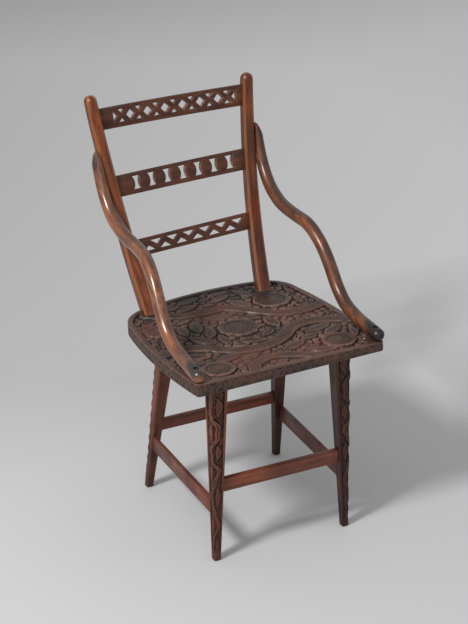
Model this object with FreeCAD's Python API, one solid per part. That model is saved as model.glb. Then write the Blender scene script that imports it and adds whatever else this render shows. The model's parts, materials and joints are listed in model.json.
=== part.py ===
"""Carved wooden armchair with a pierced back.

Millimetres. X runs to the right of a person facing the chair, Y runs backwards, Z runs up.
The origin is on the floor, midway between the seat's front edge and the back of the posts.
The seat has a frame of its own, which tilts backwards about its front top edge, and its
underside is rolled, because the board is thicker on the left than on the right.
"""
import FreeCAD
import Part
import math
import os

from FreeCAD import Placement, Rotation, Vector

# Seat board
seat_height = 450.0
origin_behind_front = 299.45
seat_depth = 461.0
seat_half_width = 220.5
seat_front_narrowing = 8.5
seat_thickness = 24.0
seat_tilt_degrees = 5.35
seat_roll_degrees = 1.1
seat_corner_radius = 9.0
# Outline points as shares of the half width and the depth: the rear corners were cut by hand,
# and the left one is the rounder of the two.
bulge_shares = (1.0, 0.34)
left_corner_shares = ((-0.925, 0.784), (-0.834, 0.877), (-0.653, 0.936))
rear_middle_shares = (0.023, 1.0)
right_corner_shares = ((0.600, 0.986), (0.800, 0.947), (0.925, 0.823))

# Carving on the seat: motifs stand up to the board's top plane over a sunk ground, inside a plain
# rim. Places are shares of the half width across and of the depth back.
ground_depth = 4.2
rim_width = 11.0
post_pad_margin = 4.0
arm_pad_margin = 9.5
# Rosettes: place and radius
rosettes = (((-0.635, 0.121), 36.0), ((0.639, 0.139), 38.0), ((0.562, 0.733), 43.0),
            ((-0.735, 0.651), 33.0), ((-0.036, 0.503), 46.0))
rosette_ring_share = 0.6
rosette_ring_width = 2.4
rosette_ring_depth = 1.4
# Ribbons: the places that each winds through, and its width
ribbons = (
    (((-1.007, 0.382), (-0.771, 0.403), (-0.535, 0.364), (-0.317, 0.278), (-0.063, 0.243),
      (0.190, 0.291), (0.417, 0.382), (0.680, 0.403), (1.007, 0.325)), 32.0),
    (((-0.680, 0.859), (-0.417, 0.772), (-0.154, 0.751), (0.082, 0.746), (0.272, 0.655),
      (0.499, 0.555), (0.753, 0.542), (1.007, 0.586)), 28.0),
    (((-0.372, -0.009), (-0.290, 0.087), (-0.063, 0.126), (0.181, 0.074), (0.381, -0.009)), 26.0),
)
ribbon_steps = 4
# Leaves: root, tip and width
leaves = (
    ((-0.834, 0.323), (-0.553, 0.262), 28.0), ((-0.349, 0.681), (-0.413, 0.536), 29.0),
    ((0.277, 0.905), (0.009, 0.852), 25.0), ((-0.186, 0.364), (0.077, 0.312), 23.0),
    ((0.073, 0.169), (0.363, 0.215), 30.0), ((0.077, 0.646), (-0.240, 0.688), 31.0),
    ((0.322, 0.423), (0.290, 0.560), 29.0), ((-0.113, 0.866), (-0.404, 0.820), 26.0),
    ((-0.023, 0.944), (-0.304, 0.911), 29.0), ((-0.562, 0.512), (-0.376, 0.386), 29.0),
    ((-0.580, 0.204), (-0.290, 0.226), 29.0), ((0.458, 0.299), (0.780, 0.338), 28.0),
    ((0.463, 0.820), (0.327, 0.944), 25.0), ((0.327, 0.707), (0.163, 0.842), 29.0),
    ((-0.839, 0.299), (-0.848, 0.156), 24.0), ((-0.639, 0.577), (-0.871, 0.458), 31.0),
    ((0.059, 0.358), (0.254, 0.416), 20.0), ((-0.354, 0.156), (-0.136, 0.195), 22.0),
    ((-0.522, 0.659), (-0.540, 0.531), 24.0), ((-0.286, 0.473), (-0.272, 0.341), 22.0),
    ((0.794, 0.625), (0.812, 0.735), 18.0), ((-0.272, 0.562), (-0.381, 0.453), 25.0),
    ((0.590, 0.236), (0.839, 0.291), 27.0), ((0.277, 0.562), (0.077, 0.616), 20.0),
    ((0.281, 0.100), (0.535, 0.056), 24.0), ((0.834, 0.143), (0.893, 0.254), 20.0),
    ((-0.621, 0.792), (-0.834, 0.738), 24.0), ((-0.272, 0.885), (-0.503, 0.872), 20.0),
    ((0.327, 0.234), (0.558, 0.254), 20.0), ((0.304, 0.935), (0.063, 0.946), 23.0),
    ((-0.336, 0.707), (-0.522, 0.685), 17.0),
)

# Legs: each top is inset from the seat's widest line and from its front or its rear, and each foot
# stands out from under the top
leg_front_top_inset = 79.0
leg_front_top_back = 65.0
leg_front_splay = 10.8
leg_front_rake = 23.0
leg_back_top_inset = 85.5
leg_back_top_forward = 140.0
leg_back_splay = 23.4
leg_back_rake = 53.3
leg_front_top_width = 37.5
leg_back_top_width = 34.3
leg_foot_width = 15.5
leg_foot_bevel = 1.5
leg_corner_cut = 2.2
leg_tenon_diameter = 20.0
leg_tenon_depth = 15.0

# Stretchers: thickness is level, height is upright
stretcher_front_thickness = 12.0
stretcher_front_height = 29.5
stretcher_front_level = 173.5
stretcher_back_thickness = 10.5
stretcher_back_height = 26.0
stretcher_back_level = 164.0
stretcher_side_thickness = 7.5
stretcher_side_height = 34.5
stretcher_side_level = 122.8
stretcher_side_outset = 4.5
stretcher_shoulder = 4.0
stretcher_cheek = 1.5
stretcher_tenon_short = 1.5

# Back posts: inset like the legs, and the left one was left a little taller
post_base_inset = 83.5
post_base_forward = 54.7
post_flare = 49.0
post_rake = 179.7
post_rise = 396.0
post_left_extra_height = 8.5
post_bow = 21.3
post_base_width = 29.4
post_top_width = 24.0
post_base_depth = 30.7
post_top_depth = 25.1
post_corner_cut = 5.0
post_dome_radius = 14.0
post_tenon_diameter = 19.0
post_sections = 9

# Slats: shares are of the way up from the seat to the middle of the top slat, width is measured up
# the slope, and the two lower slats were fitted with their left ends low
slat_thickness = 11.0
slat_setback = 4.5
slat_tenon_depth = 10.0
slat_top_below_tip = 46.5
slat_top_width = 46.0
slat_top_bow = 12.0
slat_top_tilt_degrees = 0.0
slat_middle_share = 0.6482
slat_middle_width = 46.2
slat_middle_bow = 9.0
slat_middle_tilt_degrees = 1.5
slat_bottom_share = 0.3262
slat_bottom_width = 37.5
slat_bottom_bow = 6.0
slat_bottom_tilt_degrees = 2.4

# The openings fill each slat but for its plain ends, and their shares are of the pitch

# Top slat: crosses between lozenges
cross_count = 7
cross_plain_left = 34.4
cross_plain_right = 12.0
cross_band = 28.0
lozenge_half_width_share = 0.2554
lozenge_half_height = 11.4
notch_half_width_share = 0.188
notch_depth = 9.0
cross_above_middle = 0.8

# Middle slat: waisted openings that leave discs between them
waist_count = 7
waist_plain_left = 32.0
waist_plain_right = 13.5
waist_band = 28.5
waist_end_half_width_share = 0.2595
waist_half_width_share = 0.1297
waist_above_middle = 0.7

# Bottom slat: triangles that leave a zigzag strap
zigzag_count = 12
zigzag_plain_left = 26.5
zigzag_plain_right = 13.1
zigzag_band = 20.5
zigzag_half_base_share = 0.7296
zigzag_depth = 11.0

# Arms: an arm is fixed at a share of the slats' height, and its route's shares are of the reach
# from post to front, of the drop, and of the waist
arm_fix_share = 0.8
arm_fix_forward = 5.5
arm_tip_above = 20.0
arm_tip_thickness = 3.0
arm_facet_below = 10.0
arm_top_radius = 12.0
arm_radius = 14.0
arm_flat_depth = 6.0
arm_foot_inset = 16.5
arm_foot_back = 13.0
arm_foot_rise = 12.3
arm_waist = 11.0
arm_bend_share = 0.45
arm_route_shares = (
    (0.048, 0.222, 0.12),
    (0.124, 0.392, 0.32),
    (0.231, 0.470, 0.64),
    (0.354, 0.470, 0.88),
    (0.470, 0.466, 0.62),
    (0.557, 0.563, 0.28),
    (0.621, 0.701, 0.03),
    (0.678, 0.855, -0.08),
    (0.746, 0.956, -0.03),
    (0.844, 0.992, 0.03),
)
arm_taper_corner_count = 2

# Screws, nails and the pin
top_screw_head_diameter = 15.0
top_screw_head_height = 3.4
top_screw_shank_diameter = 5.0
top_screw_bite = 12.0
top_screw_seat_depth = 1.2
front_screw_head_diameter = 11.0
front_screw_head_height = 3.2
front_screw_shank_diameter = 5.0
front_screw_bite = 14.0
front_screw_behind_foot = 8.0
front_screw_sink = 1.6
screw_slot_width = 1.3
screw_slot_depth = 1.2
nail_inside_arm = 18.5
nail_behind_front = 36.0
nail_head_diameter = 5.0
nail_head_height = 1.4
nail_shank_diameter = 2.2
nail_length = 15.0
pin_inside_leg = 26.35
pin_above_middle = -6.5
pin_head_diameter = 4.2
pin_head_height = 0.8
pin_shank_diameter = 2.6
pin_length = 12.0

# Fits
fit_gap = 0.15
end_gap = 0.6
overrun = 60.0

front_y = -origin_behind_front
seat_frame = Placement(Vector(0, front_y, seat_height), Rotation(Vector(1, 0, 0), -seat_tilt_degrees))
roll = Rotation(Vector(0, 1, 0), -seat_roll_degrees)
under_frame = seat_frame * Placement(Vector(0, 0, -seat_thickness), roll)
post_base_half = seat_half_width - post_base_inset
post_base_back = seat_depth - post_base_forward
arm_foot_half = seat_half_width - arm_foot_inset
sides = (("left", -1), ("right", 1))


def on_seat(across, back, above):
    """Place a point given across, back along the seat and above its top plane."""
    return seat_frame.multVec(Vector(across, back, above))


def seat_normal():
    return seat_frame.Rotation.multVec(Vector(0, 0, 1))


def slab(frame, bottom, top):
    """A slab far wider than the chair, between two heights above a frame's plane."""
    reach = seat_depth + seat_half_width
    box = Part.makeBox(2 * reach, 2 * reach, top - bottom, Vector(-reach, -reach / 2, bottom))
    box.Placement = frame
    return box


def cylinder_between(start, end, radius):
    direction = end - start
    return Part.makeCylinder(radius, direction.Length, start, direction)


def chamfered_square(centre, across, up, width, depth, cut):
    """Eight-sided outline about a centre, in the plane of two unit directions."""
    a = width / 2
    b = depth / 2
    corners = ((a, b - cut), (a - cut, b), (cut - a, b), (-a, b - cut),
               (-a, cut - b), (cut - a, -b), (a - cut, -b), (a, cut - b))
    points = [centre + across * u + up * v for u, v in corners]
    return Part.makePolygon(points + [points[0]])


# Seat


def seat_outline():
    front_left = Vector(seat_front_narrowing - seat_half_width, 0, 0)
    front_right = Vector(seat_half_width - seat_front_narrowing, 0, 0)
    bulge_left = Vector(-bulge_shares[0] * seat_half_width, bulge_shares[1] * seat_depth, 0)
    bulge_right = Vector(bulge_shares[0] * seat_half_width, bulge_shares[1] * seat_depth, 0)
    left_corner = [plan_point(pair) for pair in left_corner_shares]
    right_corner = [plan_point(pair) for pair in right_corner_shares]
    edges = (
        Part.Arc(front_left, bulge_left, left_corner[0]),
        Part.Arc(*left_corner),
        Part.Arc(left_corner[2], plan_point(rear_middle_shares), right_corner[0]),
        Part.Arc(*right_corner),
        Part.Arc(right_corner[2], bulge_right, front_right),
        Part.LineSegment(front_right, front_left),
    )
    return Part.Wire([edge.toShape() for edge in edges])


def blank_seat():
    blank_depth = 2 * seat_thickness
    board = Part.Face(seat_outline()).extrude(Vector(0, 0, -blank_depth))
    front_corners = [edge for edge in board.Edges
                     if abs(edge.CenterOfMass.y) < fit_gap and abs(edge.Length - blank_depth) < fit_gap]
    board = carve(board.makeFillet(seat_corner_radius, front_corners))
    board.Placement = seat_frame
    return board.cut(slab(under_frame, -seat_height, 0))


def plan_point(shares):
    """Point on the board's top plane, in the seat's own frame."""
    return Vector(shares[0] * seat_half_width, shares[1] * seat_depth, 0)


def winding(corners):
    """Smooth path through some points, as points."""
    ends = [2 * corners[0] - corners[1]] + corners + [2 * corners[-1] - corners[-2]]
    path = []
    for before, first, second, after in zip(ends, ends[1:], ends[2:], ends[3:]):
        for number in range(ribbon_steps):
            t = number / ribbon_steps
            path.append((first * 2 + (second - before) * t
                         + (before * 2 - first * 5 + second * 4 - after) * t ** 2
                         + (first * 3 - before - second * 3 + after) * t ** 3) * 0.5)
    return path + [corners[-1]]


def ribbon_outline(corners, half_width):
    """Outline of a winding band."""
    path = winding(corners)
    up = Vector(0, 0, 1)
    offsets = []
    for before, after in zip(path[:1] + path, path[1:] + path[-1:]):
        offsets.append(up.cross(after - before).normalize() * half_width)
    left = [point + offset for point, offset in zip(path, offsets)]
    right = [point - offset for point, offset in zip(path, offsets)]
    edges = []
    for points in (left, right):
        curve = Part.BSplineCurve()
        curve.interpolate(points)
        edges.append(curve.toShape())
    edges += [Part.makeLine(left[0], right[0]), Part.makeLine(left[-1], right[-1])]
    return Part.Wire(Part.__sortEdges__(edges))


def leaf_outline(root, tip, width):
    """Pointed leaf between two arcs."""
    middle = (root + tip) / 2
    out = Vector(0, 0, 1).cross(tip - root).normalize() * (width / 2)
    edges = (Part.Arc(root, middle + out, tip), Part.Arc(tip, middle - out, root))
    return Part.Wire([edge.toShape() for edge in edges])


def carve(board):
    """Sink the ground between the motifs, in a board that lies in the seat's own frame."""
    depth = Vector(0, 0, -ground_depth)
    motifs = []
    rings = []
    for shares, radius in rosettes:
        centre = plan_point(shares)
        motifs.append(Part.makeCylinder(radius, ground_depth, centre + depth))
        ring = rosette_ring_share * radius
        foot = centre - Vector(0, 0, rosette_ring_depth)
        rings.append(Part.makeCylinder(ring + rosette_ring_width / 2, rosette_ring_depth, foot).cut(
            Part.makeCylinder(ring - rosette_ring_width / 2, rosette_ring_depth, foot)))
    outlines = [ribbon_outline([plan_point(shares) for shares in corners], width / 2)
                for corners, width in ribbons]
    outlines += [leaf_outline(plan_point(root), plan_point(tip), width) for root, tip, width in leaves]
    motifs += [Part.Face(outline).extrude(depth) for outline in outlines]
    pad = Vector(post_base_width / 2 + post_pad_margin, post_base_depth / 2 + post_pad_margin, 0)
    arm_pad = Vector(seat_half_width - arm_foot_half + nail_inside_arm + arm_pad_margin,
                     nail_behind_front + arm_pad_margin, 0)
    for _, side in sides:
        middle = Vector(side * post_base_half, post_base_back, 0)
        motifs.append(Part.makeBox(2 * pad.x, 2 * pad.y, ground_depth, middle - pad + depth))
        corner = Vector(side * seat_half_width - (arm_pad.x if side > 0 else 0), 0, 0)
        motifs.append(Part.makeBox(arm_pad.x, arm_pad.y, ground_depth, corner + depth))
    ground = Part.Face(seat_outline()).makeOffset2D(-rim_width).extrude(depth).cut(motifs)
    return board.cut([ground] + rings)


# Legs


def leg_ends(side, inset, back, splay, rake):
    """Axis of a leg: its point at the seat's underside and its point on the floor."""
    half = seat_half_width - inset
    top = under_frame.multVec(Vector(side * half, back, 0))
    return top, Vector(side * (half + splay), front_y + back + rake, 0)


def leg_point(ends, height):
    top, foot = ends
    return foot + (top - foot) * (height / top.z)


def leg_width(ends, height, top_width):
    return leg_foot_width + (top_width - leg_foot_width) * height / ends[0].z


def blank_leg(ends, top_width):
    """Square leg that tapers evenly to a small bevel at the floor."""
    across = Vector(1, 0, 0)
    back = Vector(0, 1, 0)
    sections = [(0, leg_foot_width - 2 * leg_foot_bevel)]
    sections += [(level, leg_width(ends, level, top_width)) for level in (leg_foot_bevel, seat_height)]
    wires = [chamfered_square(leg_point(ends, level), across, back, width, width, leg_corner_cut)
             for level, width in sections]
    return Part.makeLoft(wires, True, True).cut(slab(under_frame, 0, seat_height))


def leg_tenon(ends, gap, end):
    top, foot = ends
    along = (top - foot).normalize()
    start = top - along * leg_tenon_diameter
    return cylinder_between(start, top + along * (leg_tenon_depth + end), leg_tenon_diameter / 2 + gap)


# Stretchers


def bar(start, end, thickness, height, short, grow, end_grow):
    """Upright bar on the line between two points, held short of each end."""
    run = end - start
    length = run.Length - 2 * short + 2 * end_grow
    wide = thickness + 2 * grow
    tall = height + 2 * grow
    block = Part.makeBox(length, wide, tall, Vector(short - end_grow, -wide / 2, -tall / 2))
    block.Placement = Placement(start, Rotation(Vector(1, 0, 0), run))
    return block


def stretcher(start, end, legs, thickness, height):
    """Bar whose shoulders meet two legs, with its tenons, and the mortise that they need."""
    body = bar(start, end, thickness, height, 0, 0, 0).cut(legs[0]).cut(legs[1])
    tenon_thickness = thickness - 2 * stretcher_cheek
    tenon_height = height - 2 * stretcher_shoulder
    tenon = bar(start, end, tenon_thickness, tenon_height, stretcher_tenon_short, 0, 0)
    mortise = bar(start, end, tenon_thickness, tenon_height, stretcher_tenon_short, fit_gap, end_gap)
    return body.fuse(tenon), mortise


# Back posts


def post_arc(side):
    """Centre line of a post, from the seat's top plane to its tip, bowed backwards."""
    base = on_seat(side * post_base_half, post_base_back, 0)
    rise = post_rise if side > 0 else post_rise + post_left_extra_height
    tip_half = post_base_half + post_flare
    tip = Vector(side * tip_half, front_y + post_base_back + post_rake, seat_height + rise)
    middle = (base + tip) / 2 + Vector(0, post_bow, 0)
    return Part.Arc(base, middle, tip)


def level_up_back(share):
    """Height at a share of the way up from the seat, at the posts, to the middle of the top slat."""
    low = on_seat(0, post_base_back, 0).z
    high = seat_height + post_rise - slat_top_below_tip
    return low + share * (high - low)


def post_share_at(arc, height):
    """Share of the arc's length at which it reaches a height."""
    low, high = arc.FirstParameter, arc.LastParameter
    for _ in range(60):
        half = (low + high) / 2
        if arc.value(half).z < height:
            low = half
        else:
            high = half
    return (low - arc.FirstParameter) / (arc.LastParameter - arc.FirstParameter)


def post_frame(arc, share):
    """Point, direction along, direction outwards and direction back at a share of the arc."""
    parameter = arc.FirstParameter + share * (arc.LastParameter - arc.FirstParameter)
    point = arc.value(parameter)
    along = Vector(*arc.tangent(parameter)[0]).normalize()
    across = Vector(1, 0, 0)
    back = along.cross(across).normalize()
    return point, along, back.cross(along).normalize(), back


def post_width(share):
    return post_base_width + (post_top_width - post_base_width) * share


def post_depth(share):
    return post_base_depth + (post_top_depth - post_base_depth) * share


def post_wire(arc, share, shift):
    """Section of a post at a share of its arc, moved along its direction."""
    point, along, across, back = post_frame(arc, share)
    centre = point + along * shift
    return chamfered_square(centre, across, back, post_width(share), post_depth(share), post_corner_cut)


def blank_post(arc):
    """Tapered, bowed post with a domed tip, shouldered on the seat's top plane."""
    spring = 1 - post_dome_radius / arc.toShape().Length
    wires = [post_wire(arc, 0, -post_base_width)]
    wires += [post_wire(arc, spring * number / (post_sections - 1), 0) for number in range(post_sections)]
    shaft = Part.makeLoft(wires, True, False).cut(slab(seat_frame, -seat_height, 0))
    centre = post_frame(arc, spring)[0]
    tip = Part.makeLoft([post_wire(arc, spring, 0), post_wire(arc, 1, 0)], True, True)
    dome = tip.common(Part.makeSphere(post_dome_radius, centre))
    return shaft.fuse(dome)


def post_tenon(arc, gap):
    """Round tenon through the seat, flush with its underside."""
    base, along = post_frame(arc, 0)[:2]
    start = base + along * post_tenon_diameter
    end = base - along * (seat_thickness + post_tenon_diameter)
    return cylinder_between(start, end, post_tenon_diameter / 2 + gap)


# Slats


class SlatPlace:
    """Where a slat sits between the posts, and its own frame: X across, Y back, Z up the slope."""

    def __init__(self, arc, level, tilt_degrees):
        share = post_share_at(arc, level)
        point, along = post_frame(arc, share)[:2]
        lean_degrees = math.degrees(math.atan2(along.y, along.z))
        lean = Rotation(Vector(1, 0, 0), -lean_degrees)
        tilt = Rotation(Vector(0, 1, 0), -tilt_degrees)
        self.frame = Placement(Vector(0, point.y, point.z), lean * tilt)
        self.clear_half = point.x - post_width(share) / 2
        self.half_length = self.clear_half + slat_tenon_depth

    def spread(self, plain_left, plain_right, count):
        """Pitch of openings that fill the slat between its plain ends, and their middles."""
        start = plain_left - self.clear_half
        pitch = (self.clear_half - plain_right - start) / count
        return pitch, [start + pitch * (number + 1 / 2) for number in range(count)]


def slat_plate(place, width, bow, gap, end):
    """Bowed plate between two arcs, as deep as the slat is thick."""
    half = place.half_length + end
    front = slat_setback - slat_thickness / 2 - gap
    rear = slat_setback + slat_thickness / 2 + gap
    bottom = -width / 2 - gap

    def bowed(offset):
        return (Vector(-half, offset, bottom), Vector(0, offset + bow, bottom), Vector(half, offset, bottom))

    near = bowed(front)
    far = bowed(rear)
    outline = Part.Wire([
        Part.Arc(*near).toShape(),
        Part.makeLine(near[2], far[2]),
        Part.Arc(*far).toShape(),
        Part.makeLine(far[0], near[0]),
    ])
    plate = Part.Face(outline).extrude(Vector(0, 0, width + 2 * gap))
    plate.Placement = place.frame
    return plate


def punch(place, outlines):
    """Solids that pierce a slat, from outlines of across and up pairs."""
    tools = []
    for wire in outlines:
        tool = Part.Face(wire).extrude(Vector(0, 2 * overrun, 0))
        tool.Placement = place.frame
        tools.append(tool)
    return tools


def flat_wire(pairs):
    points = [Vector(across, -overrun, up) for across, up in pairs]
    return Part.makePolygon(points + [points[0]])


def cross_outlines(place):
    """Lozenges between crosses, notches above and below each cross, and a half lozenge at each end."""
    wires = []
    pitch, middles = place.spread(cross_plain_left, cross_plain_right, cross_count)
    notch_half_width = notch_half_width_share * pitch
    lozenge_half_width = lozenge_half_width_share * pitch
    for middle in middles:
        for up in (-1, 1):
            base = cross_above_middle + up * cross_band / 2
            wires.append(flat_wire(((middle - notch_half_width, base), (middle + notch_half_width, base),
                                    (middle, base - up * notch_depth))))
    top = cross_above_middle + lozenge_half_height
    bottom = cross_above_middle - lozenge_half_height
    for middle in middles[1:]:
        between = middle - pitch / 2
        wires.append(flat_wire(((between - lozenge_half_width, cross_above_middle), (between, top),
                                (between + lozenge_half_width, cross_above_middle), (between, bottom))))
    for end, middle in ((-1, middles[0]), (1, middles[-1])):
        outer = middle + end * pitch / 2
        wires.append(flat_wire(((outer, top), (outer - end * lozenge_half_width, cross_above_middle),
                                (outer, bottom))))
    return wires


def waisted_outlines(place):
    """Openings with hollow sides, so that the wood between two of them reads as a disc."""
    wires = []
    half = waist_band / 2
    pitch, middles = place.spread(waist_plain_left, waist_plain_right, waist_count)
    for middle in middles:

        def corner(side, up):
            across = middle + side * waist_end_half_width_share * pitch
            return Vector(across, -overrun, waist_above_middle + up * half)

        edges = []
        for side in (-1, 1):
            waist = Vector(middle + side * waist_half_width_share * pitch, -overrun, waist_above_middle)
            edges.append(Part.Arc(corner(side, -1), waist, corner(side, 1)).toShape())
        for up in (-1, 1):
            edges.append(Part.makeLine(corner(-1, up), corner(1, up)))
        wires.append(Part.Wire([edges[0], edges[3], edges[1], edges[2]]))
    return wires


def zigzag_outlines(place):
    """Triangles that point down from the upper rail and up from the lower one, in turn."""
    wires = []
    pitch, middles = place.spread(zigzag_plain_left, zigzag_plain_right, zigzag_count)
    half_base = zigzag_half_base_share * pitch
    for number, middle in enumerate(middles):
        up = -1 if number % 2 == 0 else 1
        base = up * zigzag_band / 2
        wires.append(flat_wire(((middle - half_base, base), (middle + half_base, base),
                                (middle, base - up * zigzag_depth))))
    return wires


# Arms


def rounded_route(points):
    """Straight runs joined by tangent arcs, as large as the runs allow."""
    edges = []
    last = points[0]
    for before, corner, after in zip(points, points[1:], points[2:]):
        incoming = (corner - before).normalize()
        outgoing = (after - corner).normalize()
        setback = arm_bend_share * min((corner - before).Length, (after - corner).Length)
        start = corner - incoming * setback
        end = corner + outgoing * setback
        turn = incoming.getAngle(outgoing)
        radius = setback / math.tan(turn / 2)
        middle_way = (outgoing - incoming).normalize()
        middle = corner + middle_way * (radius / math.cos(turn / 2) - radius)
        edges.append(Part.makeLine(last, start))
        edges.append(Part.Arc(start, middle, end).toShape())
        last = end
    edges.append(Part.makeLine(last, points[-1]))
    return edges


def rod(edges, start_radius, end_radius):
    """Round rod along edges, with its radius changing evenly from one end to the other."""
    spine = Part.Wire(edges)
    first, last = edges[0], edges[-1]
    start = first.valueAt(first.FirstParameter)
    end = last.valueAt(last.LastParameter)
    shell = Part.BRepOffsetAPI.MakePipeShell(spine)
    for point, edge, parameter, radius in ((start, first, first.FirstParameter, start_radius),
                                           (end, last, last.LastParameter, end_radius)):
        ring = Part.makeCircle(radius, point, edge.tangentAt(parameter))
        shell.add(Part.Wire(ring), False, False)
    shell.build()
    shell.makeSolid()
    return shell.shape()


class ArmPlace:
    """Where an arm meets its post and the seat, and the corners of its route."""

    def __init__(self, arc, side):
        share = post_share_at(arc, level_up_back(arm_fix_share))
        point, along, across, back = post_frame(arc, share)
        self.outward = across * side
        self.up_post = along
        self.back = back
        self.on_post = point - back * arm_fix_forward + self.outward * (post_width(share) / 2 + fit_gap)
        self.fix = self.on_post + self.outward * (arm_top_radius - arm_flat_depth)
        arm_depth = 2 * arm_top_radius - arm_flat_depth
        facet_tip = self.on_post + along * arm_tip_above + self.outward * arm_tip_thickness
        facet_foot = self.on_post - along * arm_facet_below + self.outward * arm_depth
        self.facet_up = (facet_tip - facet_foot).normalize()
        self.facet_out = back.cross(self.facet_up).normalize() * side
        self.facet_point = self.on_post + self.outward * (
            (facet_foot - self.on_post).dot(self.facet_out) / self.outward.dot(self.facet_out))
        self.foot = on_seat(side * arm_foot_half, arm_foot_back, arm_foot_rise)
        span = self.foot - self.fix
        corners = []
        for reach, drop, waist in arm_route_shares:
            across_seat = span.x * reach - side * arm_waist * waist
            corners.append(self.fix + Vector(across_seat, span.y * reach, span.z * drop))
        head = self.fix + (self.fix - corners[0]).normalize() * (arm_tip_above - arm_top_radius)
        self.route = [head] + corners + [self.foot]


def blank_arm(place):
    edges = rounded_route(place.route)
    thick_edge = 2 * arm_taper_corner_count
    upper = rod(edges[:thick_edge], arm_top_radius, arm_radius)
    lower = rod(edges[thick_edge:], arm_radius, arm_radius)
    head = Part.makeSphere(arm_top_radius, place.route[0])
    foot = Part.makeSphere(arm_radius, place.foot)
    arm = upper.fuse([lower, head, foot])
    reach = arm_tip_above + 2 * arm_radius
    block = Part.makeBox(reach, 2 * reach, 2 * reach, Vector(0, -reach, -reach))
    flat = block.copy()
    flat_rotation = Rotation(place.outward * -1, place.back, place.up_post, "XZY")
    flat.Placement = Placement(place.on_post, flat_rotation)
    facet = block.copy()
    facet_rotation = Rotation(place.facet_out, place.back, place.facet_up, "XZY")
    facet.Placement = Placement(place.facet_point, facet_rotation)
    return arm.cut([slab(seat_frame, -seat_height, 0), flat, facet])


# Screws, nails and the pin


def dome(point, direction, diameter, height):
    """Low domed head that sits on a point and stands out along a direction."""
    half = diameter / 2
    radius = (half * half + height * height) / (2 * height)
    half_turn = math.asin(half / radius) / 2
    rim = Vector(half, 0, 0)
    crown = Vector(radius * math.sin(half_turn), 0, height - radius + radius * math.cos(half_turn))
    top = Vector(0, 0, height)
    centre = Vector(0, 0, 0)
    edges = [Part.makeLine(centre, rim), Part.Arc(rim, crown, top).toShape(), Part.makeLine(top, centre)]
    head = Part.Face(Part.Wire(edges)).revolve(centre, Vector(0, 0, 1), 360)
    head.Placement = Placement(point, Rotation(Vector(0, 0, 1), direction))
    return head


def slot_tool(top, direction, across, diameter, depth, width):
    length = diameter + 2 * overrun
    box = Part.makeBox(length, width, depth + overrun, Vector(-length / 2, -width / 2, -depth))
    box.Placement = Placement(top, Rotation(across, Vector(0, 0, 0), direction, "ZXY"))
    return box


def top_screw(place):
    """Domed head on a spot face in the arm's facet, with its shank running into the post."""
    out = place.facet_out
    seat_point = place.facet_point - out * top_screw_seat_depth
    through = (seat_point - place.on_post).dot(place.outward) / out.dot(place.outward)
    tip = seat_point - out * (through + top_screw_bite)
    head = dome(seat_point, out, top_screw_head_diameter, top_screw_head_height)
    screw = head.fuse(cylinder_between(seat_point, tip, top_screw_shank_diameter / 2))
    head_radius = top_screw_head_diameter / 2 + fit_gap
    pocket = cylinder_between(seat_point, seat_point + out * overrun, head_radius)
    shank = cylinder_between(seat_point + out, tip - out * end_gap, top_screw_shank_diameter / 2 + fit_gap)
    return screw, pocket.fuse(shank)


def front_screw(side):
    """Slotted head sunk in the arm's front end, with its shank running into the seat."""
    normal = seat_normal()
    back = arm_foot_back + front_screw_behind_foot
    top = arm_foot_rise + arm_radius - front_screw_sink
    head_top = on_seat(side * arm_foot_half, back, top)
    head_bottom = head_top - normal * front_screw_head_height
    tip = on_seat(side * arm_foot_half, back, -front_screw_bite)
    head = cylinder_between(head_bottom, head_top, front_screw_head_diameter / 2)
    slot_across = Vector(1, 0, 0)
    head = head.cut(slot_tool(head_top, normal, slot_across, front_screw_head_diameter,
                              screw_slot_depth, screw_slot_width))
    screw = head.fuse(cylinder_between(head_bottom, tip, front_screw_shank_diameter / 2))
    head_radius = front_screw_head_diameter / 2 + fit_gap
    pocket = cylinder_between(head_bottom, head_top + normal * overrun, head_radius)
    shank = cylinder_between(head_top, tip - normal * end_gap, front_screw_shank_diameter / 2 + fit_gap)
    return screw, pocket.fuse(shank)


def nail(side):
    normal = seat_normal()
    point = on_seat(side * (arm_foot_half - nail_inside_arm), nail_behind_front, 0)
    tip = point - normal * nail_length
    shape = dome(point, normal, nail_head_diameter, nail_head_height)
    shape = shape.fuse(cylinder_between(point, tip, nail_shank_diameter / 2))
    hole = cylinder_between(point + normal, tip - normal * end_gap, nail_shank_diameter / 2 + fit_gap)
    return shape, hole


def stretcher_pin(end):
    """Pin in the front face of the front stretcher, near its right end."""
    front = Vector(0, -1, 0)
    point = end + Vector(-pin_inside_leg, -stretcher_front_thickness / 2, pin_above_middle)
    tip = point - front * pin_length
    shape = dome(point, front, pin_head_diameter, pin_head_height)
    shape = shape.fuse(cylinder_between(point, tip, pin_shank_diameter / 2))
    hole = cylinder_between(point + front, tip - front * end_gap, pin_shank_diameter / 2 + fit_gap)
    return shape, hole


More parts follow.
